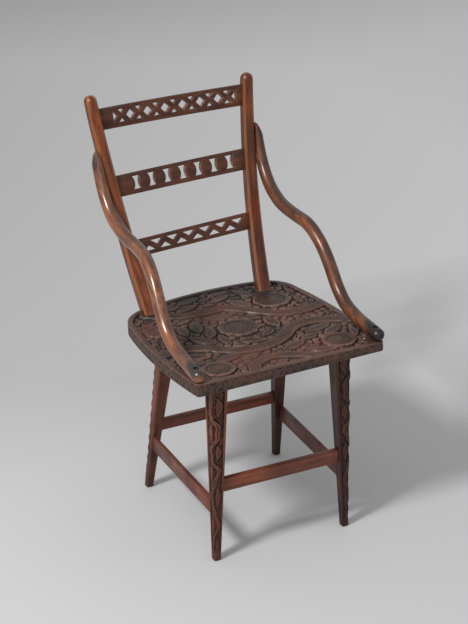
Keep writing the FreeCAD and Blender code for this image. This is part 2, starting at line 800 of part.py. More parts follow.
def build():
    nodes = {}
    seat = blank_seat()

    ends = {}
    legs = {}
    for name, side in sides:
        front = leg_ends(side, leg_front_top_inset, leg_front_top_back, leg_front_splay, -leg_front_rake)
        back = leg_ends(side, leg_back_top_inset, seat_depth - leg_back_top_forward, leg_back_splay,
                        leg_back_rake)
        for leg, axis, top_width in (("front_" + name, front, leg_front_top_width),
                                     ("back_" + name, back, leg_back_top_width)):
            ends[leg] = axis
            legs[leg] = blank_leg(axis, top_width)
            nodes["leg_" + leg] = legs[leg].fuse(leg_tenon(axis, 0, 0))
            seat = seat.cut(leg_tenon(axis, fit_gap, end_gap))

    side_plan = (stretcher_side_level, stretcher_side_thickness, stretcher_side_height)
    plans = (
        ("front", "front_left", "front_right",
         (stretcher_front_level, stretcher_front_thickness, stretcher_front_height)),
        ("back", "back_left", "back_right",
         (stretcher_back_level, stretcher_back_thickness, stretcher_back_height)),
        ("left", "front_left", "back_left", side_plan),
        ("right", "front_right", "back_right", side_plan),
    )
    outsets = {"left": Vector(-stretcher_side_outset, 0, 0), "right": Vector(stretcher_side_outset, 0, 0)}
    for name, first, second, (level, thickness, height) in plans:
        outset = outsets.get(name, Vector(0, 0, 0))
        start = leg_point(ends[first], level) + outset
        end = leg_point(ends[second], level) + outset
        piece, mortise = stretcher(start, end, (legs[first], legs[second]), thickness, height)
        nodes["stretcher_" + name] = piece
        for leg in (first, second):
            nodes["leg_" + leg] = nodes["leg_" + leg].cut(mortise)
        if name == "front":
            nodes["stretcher_pin"], hole = stretcher_pin(end)
            nodes["stretcher_front"] = nodes["stretcher_front"].cut(hole)

    right_arc = post_arc(1)
    slats = (
        ("top", cross_outlines, (1, slat_top_tilt_degrees), (slat_top_width, slat_top_bow)),
        ("middle", waisted_outlines, (slat_middle_share, slat_middle_tilt_degrees),
         (slat_middle_width, slat_middle_bow)),
        ("bottom", zigzag_outlines, (slat_bottom_share, slat_bottom_tilt_degrees),
         (slat_bottom_width, slat_bottom_bow)),
    )
    mortises = []
    for name, outlines, (share, tilt_degrees), (width, bow) in slats:
        place = SlatPlace(right_arc, level_up_back(share), tilt_degrees)
        plate = slat_plate(place, width, bow, 0, 0)
        nodes["slat_" + name] = plate.cut(punch(place, outlines(place)))
        mortises.append(slat_plate(place, width, bow, fit_gap, end_gap))

    for name, side in sides:
        arc = post_arc(side)
        post = blank_post(arc).fuse(post_tenon(arc, 0)).cut(slab(under_frame, -seat_height, 0))
        seat = seat.cut(post_tenon(arc, fit_gap))

        place = ArmPlace(arc, side)
        arm = blank_arm(place)
        nodes["arm_top_screw_" + name], holes = top_screw(place)
        arm = arm.cut(holes)
        post = post.cut(mortises + [holes])
        nodes["arm_front_screw_" + name], holes = front_screw(side)
        arm = arm.cut(holes)
        seat = seat.cut(holes)
        nodes["arm_nail_" + name], hole = nail(side)
        seat = seat.cut(hole)
        nodes["back_post_" + name] = post
        nodes["arm_" + name] = arm
    nodes["seat_board"] = seat
    return nodes


def main():
    os.makedirs("parts", exist_ok=True)
    for name, shape in build().items():
        solids = shape.Solids
        if len(solids) == 1:
            shape = solids[0]
        box = shape.optimalBoundingBox(False)
        print(f"{name:24s} solids {len(solids)} valid {shape.isValid()} volume {shape.Volume:10.0f} mm3",
              f"x {box.XMin:7.1f} {box.XMax:7.1f} y {box.YMin:7.1f} {box.YMax:7.1f}",
              f"z {box.ZMin:6.1f} {box.ZMax:6.1f}")
        shape.exportStep("parts/" + name + ".step")


main()
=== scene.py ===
"""Looks of a carved wooden armchair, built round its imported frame.

Metres, in the frame's own axes: X to the right of a person facing the chair, Y backwards, Z up.
"""
import json
import math

import bpy
import numpy as np
from bpy.props import FloatProperty, FloatVectorProperty, IntProperty, PointerProperty
from bpy.types import NodeSocket, Operator, Panel, PropertyGroup
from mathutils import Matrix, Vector

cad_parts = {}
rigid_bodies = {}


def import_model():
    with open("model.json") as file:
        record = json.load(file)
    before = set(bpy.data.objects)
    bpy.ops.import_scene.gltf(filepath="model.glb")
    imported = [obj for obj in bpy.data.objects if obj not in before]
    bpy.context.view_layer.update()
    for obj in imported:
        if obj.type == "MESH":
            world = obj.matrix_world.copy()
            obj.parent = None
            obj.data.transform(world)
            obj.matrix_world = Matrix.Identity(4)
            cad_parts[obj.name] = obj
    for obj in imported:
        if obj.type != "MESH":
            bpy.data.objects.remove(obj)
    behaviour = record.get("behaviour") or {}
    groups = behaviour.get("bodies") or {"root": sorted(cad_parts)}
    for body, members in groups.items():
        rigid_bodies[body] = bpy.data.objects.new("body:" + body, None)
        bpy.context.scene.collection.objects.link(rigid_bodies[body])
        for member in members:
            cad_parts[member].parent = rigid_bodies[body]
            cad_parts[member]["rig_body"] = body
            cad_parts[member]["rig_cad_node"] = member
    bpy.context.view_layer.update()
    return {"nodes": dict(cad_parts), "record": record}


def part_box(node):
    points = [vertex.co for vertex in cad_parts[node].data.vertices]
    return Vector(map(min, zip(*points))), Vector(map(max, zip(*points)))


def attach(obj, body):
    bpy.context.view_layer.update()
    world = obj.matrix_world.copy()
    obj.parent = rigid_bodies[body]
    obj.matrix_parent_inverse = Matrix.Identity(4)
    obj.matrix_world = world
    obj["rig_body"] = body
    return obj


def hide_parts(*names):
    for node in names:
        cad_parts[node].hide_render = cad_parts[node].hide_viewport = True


bl_info = {
    "name": "Carved Armchair",
    "version": (1, 0, 0),
    "blender": (4, 5, 0),
    "location": "3D View > Sidebar > Armchair",
    "description": "Carves, finishes and lights a wooden armchair round its packed frame",
    "category": "Object",
}

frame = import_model()
body = "root"


def linear(red, green, blue):
    """Linear colour of an 8-bit screen colour."""
    shares = (red / 255, green / 255, blue / 255)
    return tuple(share / 12.92 if share <= 0.04045 else ((share + 0.055) / 1.055) ** 2.4
                 for share in shares)


def length(name, description, default):
    return FloatProperty(name=name, description=description, default=default, min=0, precision=4,
                         unit="LENGTH")


def angle(name, description, degrees):
    return FloatProperty(name=name, description=description, default=math.radians(degrees),
                         subtype="ANGLE")


def share(name, description, default):
    return FloatProperty(name=name, description=description, default=default, min=0, max=1,
                         subtype="FACTOR")


def colour(name, description, screen):
    return FloatVectorProperty(name=name, description=description, default=linear(*screen), min=0, max=1,
                               size=3, subtype="COLOR")


class SeatSettings(PropertyGroup):
    height: length("Height", "Height of the front top edge", 0.450)
    front: FloatProperty(name="Front", description="Place of the front top edge along Y",
                         default=-0.29945, unit="LENGTH", precision=4)
    depth: length("Depth", "From the front edge to the rear one, along the board", 0.461)
    half_width: length("Half width", "Half the board's greatest width", 0.2205)
    front_narrowing: length("Front narrowing", "How much narrower each front corner is", 0.0085)
    corner_radius: length("Corner radius", "Radius of the two front corners", 0.009)
    thickness: length("Thickness", "Thickness at the middle", 0.024)
    tilt: angle("Tilt", "Backward tilt of the board", 5.35)
    roll: angle("Roll", "How far the underside is out of level", 1.1)
    cell: length("Cell", "Spacing of the carved surface's points", 0.00162)
    relief: length("Relief", "Depth of the ground below the raised parts", 0.0042)
    undercut: length("Undercut", "Extra depth of the line cut round each motif", 0.0026)
    border: length("Border", "Width of the plain border", 0.011)
    post_pad: length("Post pad", "Width of the plain square under each post", 0.038)
    arm_pad_width: length("Arm pad width", "Width of the plain corner under each arm's foot", 0.0445)
    arm_pad_length: length("Arm pad length", "Length of that corner, from the front edge", 0.0455)
    edge_relief: length("Edge relief", "Depth of the running leaves round the edge", 0.0010)


class LegSettings(PropertyGroup):
    front_half: length("Front half spacing", "Half spacing of the front legs under the seat", 0.1415)
    front_back: length("Front setback", "Front legs behind the front edge, under the seat", 0.065)
    back_half: length("Back half spacing", "Half spacing of the back legs under the seat", 0.135)
    back_back: length("Back setback", "Back legs behind the front edge, under the seat", 0.321)
    front_width: length("Front width", "Width of a front leg at the top", 0.0375)
    back_width: length("Back width", "Width of a back leg at the top", 0.0343)
    foot_width: length("Foot width", "Width of every leg at the floor", 0.0155)
    corner_cut: length("Corner cut", "Chamfer of a leg's corners", 0.0022)
    vine_share: share("Vine depth", "Depth of the front legs' carving, as a share of their width", 0.09)
    vine_wave: length("Vine wave", "Length of one wave of the vine", 0.108)
    scallop: length("Scallop", "Depth of the scallops on the back legs' outer edges", 0.0019)
    scallop_pitch: length("Scallop pitch", "Spacing of those scallops", 0.027)


class PostSettings(PropertyGroup):
    base_half: length("Base half spacing", "Half spacing of the posts on the seat", 0.137)
    base_back: length("Base setback", "Posts behind the front edge, on the seat", 0.4063)
    flare: length("Flare", "How much wider each post stands at its tip", 0.049)
    rake: length("Rake", "How far each tip lies behind the base", 0.1797)
    rise: length("Rise", "Height of the tips above the seat's front edge", 0.396)
    left_extra: length("Left extra", "Extra height of the left post", 0.0085)
    bow: length("Bow", "Backward bow of the posts", 0.0213)
    base_width: length("Base width", "Width at the seat", 0.0294)
    top_width: length("Top width", "Width at the tip", 0.024)
    base_depth: length("Base depth", "Depth at the seat", 0.0307)
    top_depth: length("Top depth", "Depth at the tip", 0.0251)
    corner_cut: length("Corner cut", "Chamfer of the posts' corners", 0.005)
    dome: length("Dome", "Radius of the rounded tips", 0.014)
    notch: length("Notch", "Depth of the notches on the outer back edges", 0.0015)
    notch_pitch: length("Notch pitch", "Spacing of those notches", 0.0062)


class EdgeSettings(PropertyGroup):
    slat: length("Slat edges", "Rounding of the slats' edges and openings", 0.0011)
    stretcher: length("Stretcher edges", "Rounding of the stretchers' edges", 0.0008)
    segments: IntProperty(name="Segments", description="Facets across a rounded edge", default=2, min=1)


class FinishSettings(PropertyGroup):
    arm_light: colour("Arm, light", "Light streaks of the arms", (150, 86, 46))
    arm_dark: colour("Arm, dark", "Dark streaks of the arms", (86, 48, 28))
    # Painted shade on the arms: a darker colour on faces turned up and to the right, away from the key
    # lamp, and how much of it each arm gets
    arm_painted_shade: colour("Arm, dull", "Dark film on the arms where hands rest", (50, 32, 23))
    painted_shade_left: share("Left film", "How much of that film is on the left arm", 0.55)
    painted_shade_right: share("Right film", "How much of that film is on the right arm", 0.8)
    post_light: colour("Post, light", "Light streaks of the posts", (138, 70, 34))
    post_dark: colour("Post, dark", "Dark streaks of the posts", (76, 37, 19))
    slat_light: colour("Slat, light", "Light streaks of the slats", (94, 53, 34))
    slat_dark: colour("Slat, dark", "Dark streaks of the slats", (58, 31, 21))
    # The openings' walls are painted lighter than the faces: a painted highlight where the key lamp
    # catches them
    slat_cut: colour("Slat openings", "Walls of the slats' openings", (146, 116, 98))
    seat_light: colour("Seat, light", "Light streaks of the seat", (88, 58, 47))
    seat_dark: colour("Seat, dark", "Dark streaks of the seat", (44, 42, 41))
    leg_light: colour("Leg, light", "Light streaks of the legs", (138, 71, 46))
    leg_dark: colour("Leg, dark", "Dark streaks of the legs", (64, 34, 25))
    # The right legs, arm and post are painted darker than the left ones: painted shade
    right_legs_shade: share("Right legs", "Brightness of the right legs against the left ones", 0.42)
    arm_right: share("Right arm", "Brightness of the right arm against the left one", 0.72)
    right_post_shade: share("Right post", "Brightness of the right post against the left one", 0.72)
    bar_light: colour("Stretcher, light", "Light streaks of the stretchers", (132, 70, 49))
    bar_dark: colour("Stretcher, dark", "Dark streaks of the stretchers", (78, 43, 32))
    # Worn colours, here and for the seat and legs below: real wear, and painted highlights on edges,
    # chamfers and tips
    worn_and_highlight: colour("Worn wood", "Raised edges rubbed by use", (174, 104, 54))
    seat_worn_and_highlight: colour("Worn seat", "Raised parts of the seat rubbed by use", (142, 100, 82))
    seat_red: colour("Seat, red", "Reddish patches of the seat", (96, 56, 42))
    leg_worn_and_highlight: colour("Worn legs", "Raised parts of the legs rubbed by use", (132, 78, 56))
    # Grime round the screws and in specks, and painted shade: the near-black that darkens the hollows and
    # undercuts
    grime_and_shade: colour("Grime", "What lies in the hollows", (13, 11, 11))
    iron: colour("Iron", "Screws and pin", (92, 87, 85))
    nickel: colour("Bright metal", "Nails", (190, 186, 178))


class StudioSettings(PropertyGroup):
    floor: colour("Floor", "Floor near the chair", (196, 196, 197))
    azimuth: angle("Azimuth", "Camera's angle round the chair", -26.146)
    elevation: angle("Elevation", "Camera's angle above the horizon", 26.68)
    distance: length("Distance", "From the camera to what it looks at", 4.49363)
    lens: FloatProperty(name="Lens", description="Focal length in millimetres on a 36 mm sensor",
                        default=122.88, min=1)


# Materials


class Shader:
    """A material's node tree, added to one node at a time."""

    def __init__(self, name):
        self.material = bpy.data.materials.new(name)
        self.material.use_nodes = True
        self.tree = self.material.node_tree
        self.tree.nodes.clear()

    def node(self, kind, inputs, **settings):
        made = self.tree.nodes.new(kind)
        for key, value in settings.items():
            setattr(made, key, value)
        for key, value in inputs.items():
            if isinstance(value, NodeSocket):
                self.tree.links.new(value, made.inputs[key])
            else:
                made.inputs[key].default_value = value
        return made

    def math(self, operation, first, second=0.0, clamp=False):
        return self.node("ShaderNodeMath", {0: first, 1: second}, operation=operation,
                         use_clamp=clamp).outputs[0]

    def mix(self, factor, first, second, blend="MIX"):
        first, second = (value if isinstance(value, NodeSocket) else (*value, 1.0)
                         for value in (first, second))
        return self.node("ShaderNodeMix", {0: factor, 6: first, 7: second}, data_type="RGBA",
                         blend_type=blend).outputs[2]

    def noise(self, vector, scale=1.0, detail=4.0, roughness=0.55, distortion=0.0):
        made = self.node("ShaderNodeTexNoise", {"Vector": vector, "Scale": scale, "Detail": detail,
                                                "Roughness": roughness, "Distortion": distortion})
        return made.outputs["Fac"]

    def band(self, value, low, high, start=0.0, end=1.0):
        """Value mapped from one range to another, and held at the ends."""
        return self.node("ShaderNodeMapRange", {"Value": value, "From Min": low, "From Max": high,
                                                "To Min": start, "To Max": end}).outputs[0]

    def attribute(self, name):
        return self.node("ShaderNodeAttribute", {}, attribute_name=name).outputs["Fac"]

    def along(self, vector, direction):
        """How far a vector reaches in a direction."""
        made = self.node("ShaderNodeVectorMath", {0: vector, 1: direction}, operation="DOT_PRODUCT")
        return made.outputs["Value"]

    def away(self, vector, spot):
        """How far a vector's tip is from a spot."""
        made = self.node("ShaderNodeVectorMath", {0: vector, 1: spot}, operation="DISTANCE")
        return made.outputs["Value"]

    def position(self):
        return self.node("ShaderNodeTexCoord", {}).outputs["Object"]

    def normal(self):
        return self.node("ShaderNodeTexCoord", {}).outputs["Normal"]

    def stretched(self, vector, direction, along, across):
        """Coordinates in cells that are long in one direction."""
        turn = Vector(direction).to_track_quat("X", "Z").to_euler()
        made = self.node("ShaderNodeMapping", {"Vector": vector, "Rotation": turn,
                                               "Scale": (along, across, across)}, vector_type="TEXTURE")
        return made.outputs[0]

    def finish(self, **inputs):
        inputs = {key.replace("_", " "): value for key, value in inputs.items()}
        surface = self.node("ShaderNodeBsdfPrincipled", inputs)
        self.node("ShaderNodeOutputMaterial", {"Surface": surface.outputs[0]})
        return self.material


def shaded(level, *tints):
    """Tints, each brought to a share of its brightness."""
    return [tuple(level * part for part in tint) for tint in tints]


# Patterns of the wood, in metres and in the noises' scales
streak_stretch = 16
pore_length, pore_width = 0.018, 0.0009
blotch_scale, speck_scale = 13.0, 190.0
# Brightness of the pores and of the blotches, against the dark streaks
pore_level, blotch_level = 0.45, 0.55
# Painted shade on the arms: on what faces up and to the right, away from the key lamp
painted_shade_facing = (0.62, 0, 0.78)
bump_depth, bump_strength = 0.0007, 0.55
wood_specular, coat_roughness = 0.3, 0.24


def wood(name, light, dark, direction, gloss=0.42, coat=0.1, patches=(), streak=0.011, worn_and_highlight=None,
         dull=0.0):
    """Old oiled wood: streaks and pores along one direction, blotches, dirt and painted shade in hollows,
    rubbed edges with painted highlights.

    gloss is its middling roughness, and streak how wide its streaks are. patches are (place, radius,
    strength, colour), as where dirt lies round a screw, and dull is how much painted shade it gets on the
    faces turned up and to the right."""
    finish = bpy.context.scene.armchair_finish
    shader = Shader(name)
    place = shader.position()
    streaks = shader.noise(shader.stretched(place, direction, streak_stretch * streak, streak),
                           detail=5.0, roughness=0.6, distortion=0.6)
    pores = shader.noise(shader.stretched(place, direction, pore_length, pore_width), detail=2.0)
    blotches = shader.noise(place, scale=blotch_scale, detail=3.0, roughness=0.6)
    specks = shader.noise(place, scale=speck_scale, detail=2.0)
    tint = shader.mix(shader.band(streaks, 0.36, 0.64), dark, light)
    tint = shader.mix(shader.band(pores, 0.56, 0.72, 0.0, 0.5), tint, *shaded(pore_level, dark))
    tint = shader.mix(shader.band(blotches, 0.40, 0.68, 0.0, 0.62), tint, *shaded(blotch_level, dark))
    tint = shader.mix(shader.band(specks, 0.66, 0.76, 0.0, 0.55), tint, finish.grime_and_shade)
    # Lighter wood on raised edges, chamfers and tips: real wear, and painted highlights
    rubbed = shader.math("MULTIPLY", shader.attribute("wear_and_highlight"),
                         shader.band(blotches, 0.30, 0.62, 0.35, 1.0))
    tint = shader.mix(shader.math("MULTIPLY", rubbed, 0.7, clamp=True), tint, worn_and_highlight or finish.worn_and_highlight)
    # Painted shade on faces turned up and to the right
    if dull:
        facing = shader.along(shader.normal(), painted_shade_facing)
        painted_shade = shader.math("MULTIPLY", shader.band(facing, 0.05, 0.70, 0.0, dull),
                           shader.band(blotches, 0.30, 0.50, 0.35, 1.0))
        tint = shader.mix(painted_shade, tint, finish.arm_painted_shade)
    # Near-black in the hollows: grime, and painted shade of the hollows and undercuts
    hollow = shader.attribute("hollow")
    tint = shader.mix(hollow, tint, finish.grime_and_shade)
    # Patches of other colours, such as grime round screws, and a painted highlight on an arm's tip
    for spot, radius, strength, shade in patches:
        away = shader.away(place, spot)
        for pattern, spread in ((specks, 0.15 * radius), (blotches, 0.2 * radius)):
            away = shader.math("ADD", away, shader.band(pattern, 0.3, 0.7, -spread, spread))
        tint = shader.mix(shader.band(away, 0.6 * radius, radius, strength, 0.0), tint, shade)
    rough = shader.math("ADD", shader.band(blotches, 0.35, 0.65, gloss - 0.07, gloss + 0.1),
                        shader.math("MULTIPLY", hollow, 0.45))
    grain = shader.math("ADD", shader.math("MULTIPLY", streaks, 0.6),
                        shader.math("MULTIPLY", pores, 0.25))
    grain = shader.math("ADD", grain, shader.math("MULTIPLY", blotches, 1.05))
    bump = shader.node("ShaderNodeBump", {"Strength": bump_strength, "Distance": bump_depth,
                                          "Height": grain})
    return shader.finish(Base_Color=tint, Roughness=rough, Normal=bump.outputs[0],
                         Specular_IOR_Level=wood_specular, Coat_Weight=coat,
                         Coat_Roughness=coat_roughness)


def metal(name, tint, rough):
    """Old metal, dulled unevenly."""
    shader = Shader(name)
    spots = shader.noise(shader.position(), scale=420.0, detail=3.0)
    shade = shader.mix(shader.band(spots, 0.35, 0.7, 0.0, 0.7), tint, *shaded(0.4, tint))
    bump = shader.node("ShaderNodeBump", {"Strength": 0.4, "Distance": 0.0002, "Height": spots})
    return shader.finish(Base_Color=shade, Metallic=0.9, Normal=bump.outputs[0],
                         Roughness=shader.band(spots, 0.3, 0.7, rough, rough + 0.25))


# Mesh tools


def select_only(piece):
    bpy.ops.object.select_all(action="DESELECT")
    piece.select_set(True)
    bpy.context.view_layer.objects.active = piece


def new_piece(name):
    """The primitive that was just added, named."""
    piece = bpy.context.active_object
    piece.name = name
    piece.data.name = name
    select_only(piece)
    return piece


def points_of(piece):
    flat = np.empty(3 * len(piece.data.vertices))
    piece.data.vertices.foreach_get("co", flat)
    return flat.reshape(-1, 3)


def place_points(piece, points):
    piece.data.vertices.foreach_set("co", np.ascontiguousarray(points, dtype=np.float32).ravel())
    piece.data.update()


def paint(piece, name, values):
    layer = piece.data.attributes.new(name, "FLOAT", "POINT")
    layer.data.foreach_set("value", np.clip(values, 0, 1).astype(np.float32))


def smooth(piece, degrees):
    select_only(piece)
    bpy.ops.object.shade_smooth_by_angle(angle=math.radians(degrees))


def dress(piece, slot, nodes, *materials):
    """Give a new piece its materials, in the place of CAD nodes, and attach it to the body. The slot is
    not used.
    """
    for material in materials:
        piece.data.materials.append(material)
    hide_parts(*nodes)
    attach(piece, body)


def coat_node(name, material):
    """Give a CAD node a material of its own."""
    node = frame["nodes"][name]
    for place in node.material_slots:
        place.material = material


def ease(value, low, high):
    """Smooth step from 0 at low to 1 at high."""
    step = np.clip((value - low) / (high - low), 0, 1)
    return step * step * (3 - 2 * step)


def blurred(grid, passes):
    """A grid of values, averaged with its neighbours several times."""
    for _ in range(passes):
        for axis in (0, 1):
            padded = np.pad(grid, [(1, 1) if axis == side else (0, 0) for side in (0, 1)], mode="edge")
            before, after = (padded[:-2], padded[2:]) if axis == 0 else (padded[:, :-2], padded[:, 2:])
            grid = (before + 2 * grid + after) / 4
    return grid


def circle_through(first, second, third, count):
    """Points along the circle's arc from the first point to the third, through the second."""
    first, second, third = (np.asarray(point, float) for point in (first, second, third))
    to_second, to_third = second - first, third - first
    normal = np.cross(to_second, to_third)
    centre = first + np.cross(to_second.dot(to_second) * to_third - to_third.dot(to_third) * to_second,
                              normal) / (2 * normal.dot(normal))
    u = first - centre
    w = np.cross(normal / np.linalg.norm(normal), u)
    end = third - centre
    sweep = math.atan2(end.dot(w), end.dot(u)) % (2 * math.pi)
    turn = np.linspace(0, sweep, count)[:, None]
    return centre + np.cos(turn) * u + np.sin(turn) * w


def evenly(path, count):
    """A path's points, spaced evenly along it."""
    steps = np.concatenate([[0], np.cumsum(np.linalg.norm(np.diff(path, axis=0), axis=1))])
    wanted = np.linspace(0, steps[-1], count)
    return np.stack([np.interp(wanted, steps, path[:, axis]) for axis in range(path.shape[1])], axis=1)


# Seat board: places on it are in metres across, back along the board and above its top plane


def on_seat(seat, points):
    across, back, above = np.asarray(points).T
    slope, rise = math.sin(seat.tilt), math.cos(seat.tilt)
    return np.stack([across, seat.front + back * rise + above * slope,
                     seat.height - back * slope + above * rise], axis=1)


def seat_sides(seat):
    """The board's outline as four paths: front, rear, left and right, from front and from left."""
    half, depth = seat.half_width, seat.depth

    def at(across, back):
        return across * half, back * depth, 0.0

    def arc(first, second, third):
        return circle_through(first, second, third, 200)

    narrow = 1 - seat.front_narrowing / half
    left = (at(-0.925, 0.784), at(-0.834, 0.877), at(-0.653, 0.936))
    right = (at(0.600, 0.986), at(0.800, 0.947), at(0.925, 0.823))
    left_side = np.concatenate([arc(at(-narrow, 0), at(-1, 0.34), left[0]), arc(*left)[:100]])
    right_side = np.concatenate([arc(at(narrow, 0), at(1, 0.34), right[2]), arc(*right)[::-1][:100]])
    rear = np.concatenate([arc(*left)[100:], arc(left[2], at(0.023, 1.0), right[0]), arc(*right)[:100]])
    front = np.linspace(at(-narrow, 0), at(narrow, 0), 400)
    turn = np.linspace(0, 1, 40)[:, None]

    def rounded(corner, along_front, along_side):
        return (1 - turn) ** 2 * along_front + 2 * turn * (1 - turn) * corner + turn ** 2 * along_side

    reach = seat.corner_radius
    trimmed = []
    for side, corner in ((left_side, front[0]), (right_side, front[-1])):
        kept = side[np.linalg.norm(side - corner, axis=1) > reach]
        inward = front[len(front) // 2] - corner
        bend = rounded(corner, corner + inward * reach / np.linalg.norm(inward), kept[0])
        trimmed.append((bend, kept))
    (left_bend, left_kept), (right_bend, right_kept) = trimmed
    front = np.concatenate([left_bend[:20][::-1], right_bend[:20]])
    left_side = np.concatenate([left_bend[19:], left_kept])
    right_side = np.concatenate([right_bend[19:], right_kept])
    return [path[:, :2] for path in (front, rear, left_side, right_side)]


def patch(sides, across, back):
    """Points of a four-sided patch at shares across and back."""
    front, rear, left, right = (evenly(path, 2001) for path in sides)
    ticks = np.linspace(0, 1, 2001)

    def along(path, shares):
        return np.stack([np.interp(shares, ticks, path[:, axis]) for axis in (0, 1)], axis=1)

    u, v = across[:, None], back[:, None]
    corners = (1 - u) * (1 - v) * front[0] + u * (1 - v) * front[-1] \
        + (1 - u) * v * rear[0] + u * v * rear[-1]
    return (1 - v) * along(front, across) + v * along(rear, across) \
        + (1 - u) * along(left, back) + u * along(right, back) - corners


class Relief:
    """Heights of a carved face, built up motif by motif over a ground. Lengths are in metres.

    room is how far each point lies from every motif."""

    def __init__(self, points, depth, undercut):
        self.points = points
        self.undercut = undercut
        across, back = points.T
        self.height = -depth + 0.00028 * np.sin(across / 0.0016 + 4 * np.sin(back / 0.013)) \
            * np.sin(back / 0.0019 + 3 * np.sin(across / 0.021))
        self.room = np.full(len(points), np.inf)
        self.shadow = np.zeros(len(points))
        self.strength = 0.62 + 0.38 * np.sin(across / 0.019 + 2 * np.sin(back / 0.027)) \
            * np.sin(back / 0.016 + 2 * np.sin(across / 0.031))

    def lay(self, inside, level, detail, edge=0.0012):
        """Add a motif: how far each point lies inside it, its level below the top, and its own detail."""
        shoulder = 0.0007 * np.exp(-np.clip(inside, 0, None) / 0.0022)
        raised = ease(inside, -0.4 * edge, 0.6 * edge)
        line = self.strength * np.exp(-((inside + 0.0016) / 0.0016) ** 2)
        self.height = self.height * (1 - raised) + (detail - level - shoulder) * raised \
            - self.undercut * line * (1 - raised)
        self.shadow = self.shadow * (1 - raised) + line * (1 - raised)
        self.room = np.minimum(self.room, -inside)

    def local(self, centre, turn):
        away = self.points - centre
        c, s = math.cos(turn), math.sin(turn)
        return away[:, 0] * c + away[:, 1] * s, away[:, 1] * c - away[:, 0] * s

    def rosette(self, centre, radius, petals, turn=0.0):
        """Round flower with a scalloped rim, rings and a boss."""
        x, y = self.local(centre, turn)
        away, bearing = np.hypot(x, y), np.arctan2(y, x)
        petal = np.abs(np.sin(petals * bearing / 2))
        rim = radius * (0.93 + 0.07 * petal)
        rings = sum(np.exp(-((away - part * radius) / 0.0009) ** 2) for part in (0.26, 0.60, 0.66))
        rays = np.exp(-(petal / 0.10) ** 2) * ease(away, 0.68 * radius, 0.74 * radius)
        flutes = (0.5 + 0.5 * np.sin(3 * petals * bearing)) * ease(away, 0.30 * radius, 0.36 * radius) \
            * ease(0.56 * radius - away, 0, 0.05 * radius)
        dish = 0.0010 * ease(away, 0.15 * radius, 0.5 * radius) \
            * ease(0.95 * radius - away, 0, 0.3 * radius)
        self.lay(rim - away, 0.0, -0.0014 * rings - 0.0015 * rays - 0.0009 * flutes - dish)

    def leaf(self, root, tip, width, level):
        """Pointed leaf with a midrib, side veins and one half set lower than the other."""
        run = tip - root
        size = np.hypot(*run)
        x, y = self.local(root, math.atan2(run[1], run[0]))
        step = np.clip(x / size, 0, 1)
        half = 2 * width * step * (1 - step)
        beyond = np.clip(np.maximum(-x, x - size), 0, None)
        rib = np.exp(-(y / 0.0009) ** 2)
        veins = (0.5 + 0.5 * np.sin((x - 1.2 * np.abs(y)) / 0.00085)) * ease(np.abs(y), 0.0010, 0.0020)
        self.lay(half - np.abs(y) - beyond, level, -0.0013 * rib - 0.0008 * veins - 0.0006 * (y < 0))

    def ribbon(self, corners, width, scale=0.0058):
        """Flat band that winds through some points, edged with grooves and cut with small scales."""
        ends = np.vstack([2 * corners[0] - corners[1], corners, 2 * corners[-1] - corners[-2]])
        path = []
        for before, first, second, after in zip(ends, ends[1:], ends[2:], ends[3:]):
            t = np.linspace(0, 1, 24, endpoint=False)[:, None]
            path.append(0.5 * (2 * first + (second - before) * t
                               + (2 * before - 5 * first + 4 * second - after) * t ** 2
                               + (3 * first - before - 3 * second + after) * t ** 3))
        path = evenly(np.vstack([*path, corners[-1:]]), 260)
        direction = np.gradient(path, axis=0)
        direction /= np.linalg.norm(direction, axis=1)[:, None]
        distance = np.full(len(self.points), np.inf)
        nearest = np.zeros(len(self.points), int)
        for number, point in enumerate(path):
            away = np.hypot(*(self.points - point).T)
            closer = away < distance
            distance[closer], nearest[closer] = away[closer], number
        offset = self.points - path[nearest]
        side = offset[:, 1] * direction[nearest, 0] - offset[:, 0] * direction[nearest, 1]
        along = nearest * np.linalg.norm(path[1] - path[0]) + (offset * direction[nearest]).sum(axis=1)
        inner = ease(width / 2 - np.abs(side), 0.0042, 0.0050)
        row = np.floor(side / scale)
        cell_side = side / scale - row - 0.5
        cell_along = (along / scale + 0.5 * row) % 1 - 0.5
        scales = ease(np.hypot(cell_side, cell_along), 0.34, 0.50)
        groove = np.exp(-((width / 2 - np.abs(side) - 0.0036) / 0.0008) ** 2)
        self.lay(width / 2 - distance, 0.0, -0.0015 * scales * inner - 0.0013 * groove)

    def button(self, centre, radius, level):
        """Small round boss."""
        away = np.hypot(*(self.points - centre).T)
        self.lay(radius - away, level, -0.0010 * np.clip(away / radius, 0, 1) ** 2)

    def plain(self, inside):
        """Part left uncarved, at the top plane."""
        plain = ease(inside, -0.0010, 0.0002)
        self.height = self.height * (1 - plain)
        self.shadow = self.shadow * (1 - plain)


# Motifs on the seat: places are shares of the half width across and of the depth back. The leaves and
# sprigs stand a little lower than the rest.
# Rosettes: place, radius and petals
rosettes = (((-0.635, 0.121), 0.036, 6), ((0.639, 0.139), 0.038, 7), ((0.562, 0.733), 0.043, 9),
            ((-0.735, 0.651), 0.033, 7), ((-0.036, 0.503), 0.046, 12))
# Ribbons: the places that each winds through, and its width
ribbons = (
    (((-1.007, 0.382), (-0.771, 0.403), (-0.535, 0.364), (-0.317, 0.278), (-0.063, 0.243),
      (0.190, 0.291), (0.417, 0.382), (0.680, 0.403), (1.007, 0.325)), 0.032),
    (((-0.680, 0.859), (-0.417, 0.772), (-0.154, 0.751), (0.082, 0.746), (0.272, 0.655),
      (0.499, 0.555), (0.753, 0.542), (1.007, 0.586)), 0.028),
    (((-0.372, -0.009), (-0.290, 0.087), (-0.063, 0.126), (0.181, 0.074), (0.381, -0.009)), 0.026),
)
